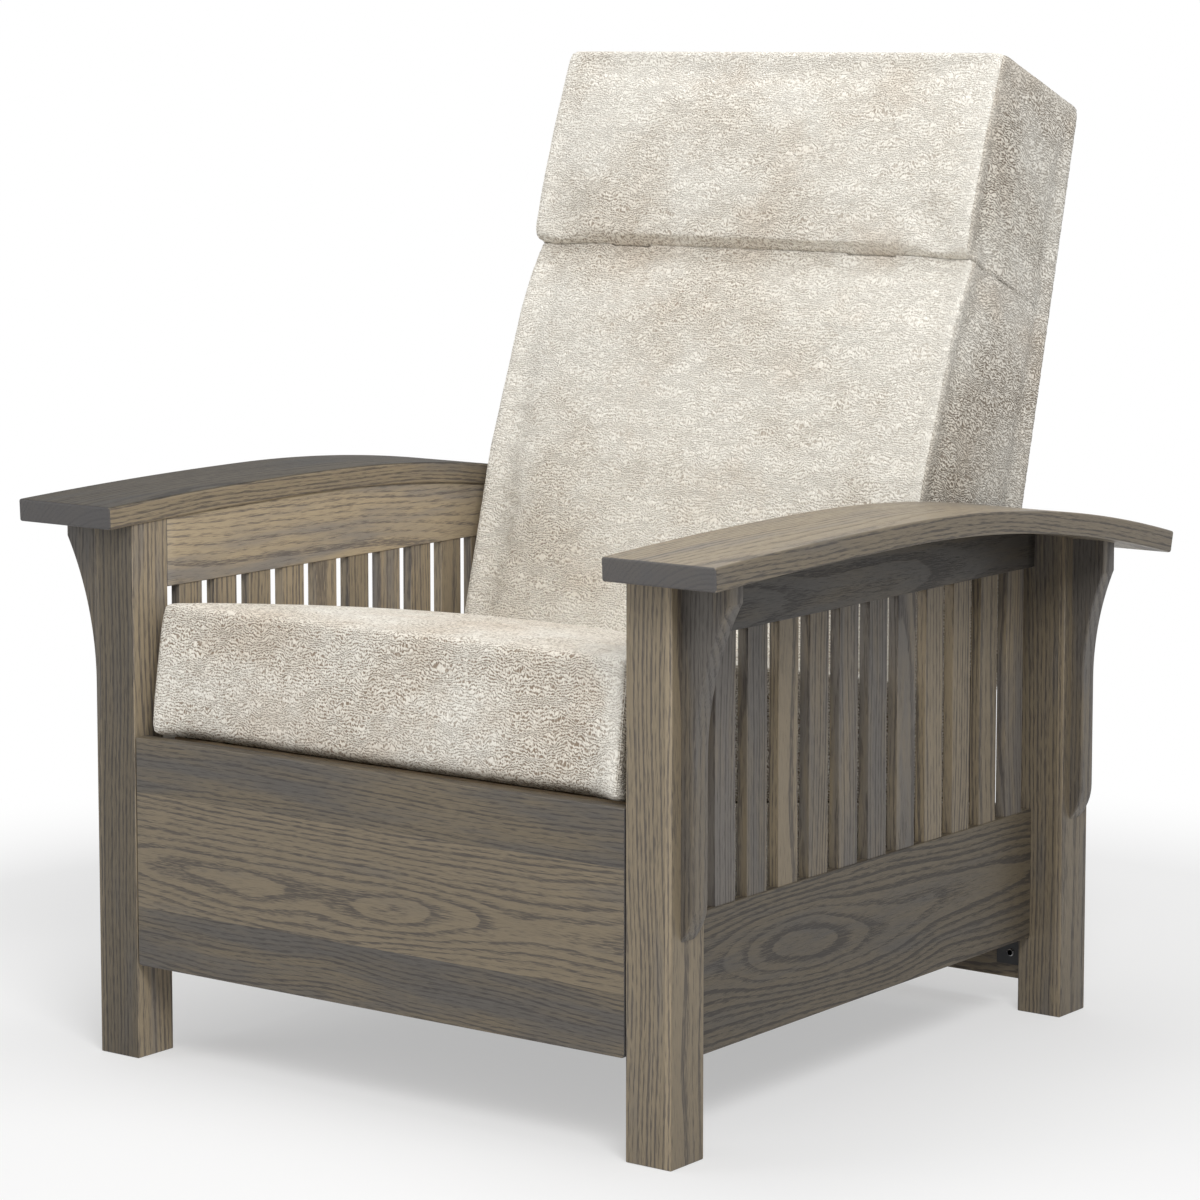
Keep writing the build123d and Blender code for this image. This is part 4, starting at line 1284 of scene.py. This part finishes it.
class CHAIR_OT_screws(ChairPiece, bpy.types.Operator):
    """Screw heads of the straps, the back brackets and the runners"""

    bl_idname = "chair.screws"
    bl_label = "Screws"
    radius: length("Head radius", "Radius of a head", 0.0042)
    height: length("Head height", "Height of a head", 0.0020)

    def make(self):
        plates = {
            "frame": ("screws_straps", self.strap_places()),
            "back": ("screws_brackets", self.bracket_places()),
            "footrest": ("screws_runners", self.runner_places()),
        }
        for body, (name, places) in plates.items():
            bm = bmesh.new()
            for side in SIDES.values():
                for place, facing in places:
                    self.screw(bm, Vector((place.x * side, *place.yz)), Vector((facing.x * side, *facing.yz)))
            bmesh.ops.recalc_face_normals(bm, faces=bm.faces)
            finished(bm, name, body, zinc_steel(), ())

    def strap_places(self):
        """Two screws on the foot of each strap, seen from the front."""
        lowest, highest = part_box("rear_strap_right")
        middle, face = (lowest.x + highest.x) / 2, highest.y - STRAP_THICKNESS
        return [(Vector((middle, face, lowest.z + rise)), Vector((0, -1, 0))) for rise in (0.014, 0.034)]

    def bracket_places(self):
        """Three screws at the top of each bracket, over the seat side."""
        pin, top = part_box("recline_pins"), corner("back_bracket_right", 1, 0, 1)
        foot = Vector((high("back_bracket_right").x, (pin[0].y + pin[1].y) / 2, (pin[0].z + pin[1].z) / 2))
        top.y = (corner("back_bracket_right", 1, -0.3, 1).y + corner("back_bracket_right", 1, 0.3, 1).y) / 2
        spread = Vector((0, 0.015, 0))
        line = [foot.lerp(top, share) for share in (0.62, 0.90, 0.90)]
        return [(point + spread * step, Vector((1, 0, 0))) for point, step in zip(line, (0, -1, 1))]

    def runner_places(self):
        """Three screws in the channel of each moving runner."""
        lowest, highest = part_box("runner_moving_right")
        middle, along = (lowest + highest) / 2, highest - lowest
        middle.x, along.x = lowest.x + RUNNER_WALL, 0
        slope = Vector((0, along.y, -along.y * tan(SEAT_SLOPE)))
        return [(middle + slope * share, Vector((1, 0, 0))) for share in (-0.38, 0.0, 0.38)]

    def screw(self, bm, place, facing):
        """A round head with a driving socket."""
        turn = Matrix.Translation(place) @ facing.to_track_quat("Z", "Y").to_matrix().to_4x4()
        disc = bmesh.ops.create_circle(bm, cap_ends=True, segments=12, radius=self.radius, matrix=turn)
        face, centre = disc["verts"][0].link_faces[0], place.copy()
        for rise, scale in ((0.55, 1.0), (0.45, 0.80), (0.0, 0.52), (-0.75, 0.92)):
            step = facing * rise * self.height
            face = drawn_out(bm, face, step)
            centre += step
            around = Matrix.Translation(-centre)
            bmesh.ops.scale(bm, vec=(scale, scale, scale), space=around, verts=face.verts)


class CHAIR_OT_hidden_parts(ChairPiece, bpy.types.Operator):
    """Finishes of the solids that show as they are"""

    bl_idname = "chair.hidden_parts"
    bl_label = "Inner parts"

    def make(self):
        finishes = {
            "frame_hardwood": frame_hardwood, "upholstery": upholstery, "webbing": webbing,
            "dust_cloth": dust_cloth, "bumper_rubber": bumper_rubber, "black_steel": black_steel,
            "zinc_steel": zinc_steel, "stained_oak": frame_hardwood,
        }
        for part in frame["record"]["subparts"]:
            node = frame["nodes"][part["node"]]
            if node.hide_render:
                continue
            for slot in node.material_slots:
                slot.material = finishes[part["material_slot"]]()


class CHAIR_OT_studio(ChairPiece, bpy.types.Operator):
    """Plain pale floor, soft lights and the camera"""

    bl_idname = "chair.studio"
    bl_label = "Studio"

    def make(self):
        scene = bpy.context.scene
        studio = scene.chair_studio
        self.camera(scene, studio)
        self.floor()
        self.world(scene, studio)
        # Place, size and power of each lamp
        self.lamp("key", (2.8, -2.6, 3.5), (1.8, 1.8), 140.0)
        self.lamp("fill", (-3.2, -3.4, 2.0), (2.4, 2.0), 36.0)
        self.lamp("top", (-0.2, 0.2, 3.8), (2.4, 2.0), 51.0)
        scene.view_settings.view_transform = "Standard"

    def camera(self, scene, studio):
        data = bpy.data.cameras.new("camera")
        data.lens, data.shift_y = studio.lens, studio.shift
        camera = bpy.data.objects.new("camera", data)
        camera.location = studio.place
        camera.rotation_euler = (radians(90) - studio.dip, 0, studio.turn)
        scene.collection.objects.link(camera)
        scene.camera = camera

    def lamp(self, name, place, size, power):
        data = bpy.data.lights.new(name, "AREA")
        data.shape, data.size, data.size_y, data.energy = "RECTANGLE", *size, power
        lamp = bpy.data.objects.new(name, data)
        lamp.location = place
        lamp.rotation_euler = (Vector((0, 0, 0.5)) - lamp.location).to_track_quat("-Z", "Y").to_euler()
        bpy.context.scene.collection.objects.link(lamp)

    def floor(self):
        bm = bmesh.new()
        bmesh.ops.create_circle(bm, cap_ends=True, segments=64, radius=9.0)
        floor_piece = placed(bm, "floor")
        floor_piece.data.materials.append(self.floor_paint())

    def floor_paint(self):
        """A pale matt floor that brightens to plain white away from the chair."""
        paint = Paint(bpy.data.materials.new("floor_finish"))
        matt = paint.node("ShaderNodeBsdfDiffuse", inputs={"Color": (0.86, 0.86, 0.86, 1.0)})
        white = paint.node("ShaderNodeEmission", inputs={"Color": WHITE})
        away = paint.node("ShaderNodeVectorMath", {"operation": "LENGTH"}, {0: paint.coordinates()}, output=1)
        share = paint.between(away, 0.70, 1.6).math("MAXIMUM", 0.45)
        seen = self.seen(paint)
        blend = paint.node("ShaderNodeMixShader", inputs={0: share * seen, 1: matt, 2: white})
        paint.node("ShaderNodeOutputMaterial", inputs={"Surface": blend})
        return paint.owner

    @staticmethod
    def seen(paint):
        """1 for rays from the eye and for those that metal or glass sends on, else 0."""
        outputs = paint.node("ShaderNodeLightPath").socket.node.outputs
        names = "Is Camera Ray", "Is Glossy Ray", "Is Transmission Ray"
        eye, glossy, through = (Value(paint, outputs[name]) for name in names)
        return eye.math("MAXIMUM", glossy).math("MAXIMUM", through)

    def world(self, scene, studio):
        paint = Paint(bpy.data.worlds.new("studio"))
        seen = self.seen(paint)
        strength = seen * (1.0 - studio.ambient) + studio.ambient
        back = paint.node("ShaderNodeBackground", inputs={"Color": WHITE, "Strength": strength})
        paint.node("ShaderNodeOutputWorld", inputs={"Surface": back})
        scene.world = paint.owner


class CHAIR_PT_build(bpy.types.Panel):
    """Lists the pieces of the chair"""

    bl_label = "Bow-arm chair"
    bl_space_type = "VIEW_3D"
    bl_region_type = "UI"
    bl_category = "Chair"

    def draw(self, context):
        for operator in OPERATORS:
            self.layout.operator(operator.bl_idname)
        for name, kind in GROUPS.items():
            box = self.layout.box()
            for key in kind.__annotations__:
                box.prop(getattr(context.scene, name), key)


GROUPS = {
    "chair_joinery": ChairJoinery,
    "chair_oak": ChairOak,
    "chair_upholstery": ChairUpholstery,
    "chair_studio": ChairStudio,
}
OPERATORS = (
    CHAIR_OT_studio,
    CHAIR_OT_posts,
    CHAIR_OT_arms,
    CHAIR_OT_side_rails,
    CHAIR_OT_slats,
    CHAIR_OT_corbels,
    CHAIR_OT_front_panel,
    CHAIR_OT_rear_rail,
    CHAIR_OT_seat_cushion,
    CHAIR_OT_back,
    CHAIR_OT_footrest_pad,
    CHAIR_OT_screws,
    CHAIR_OT_hidden_parts,
)


def register():
    for kind in (*GROUPS.values(), *OPERATORS, CHAIR_PT_build):
        bpy.utils.register_class(kind)
    for name, kind in GROUPS.items():
        setattr(bpy.types.Scene, name, bpy.props.PointerProperty(type=kind))


def unregister():
    for name in GROUPS:
        delattr(bpy.types.Scene, name)
    for kind in reversed((*GROUPS.values(), *OPERATORS, CHAIR_PT_build)):
        bpy.utils.unregister_class(kind)


def main():
    register()
    for operator in OPERATORS:
        group, name = operator.bl_idname.split(".")
        getattr(getattr(bpy.ops, group), name)()
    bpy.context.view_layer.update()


if __name__ == "__main__":
    main()
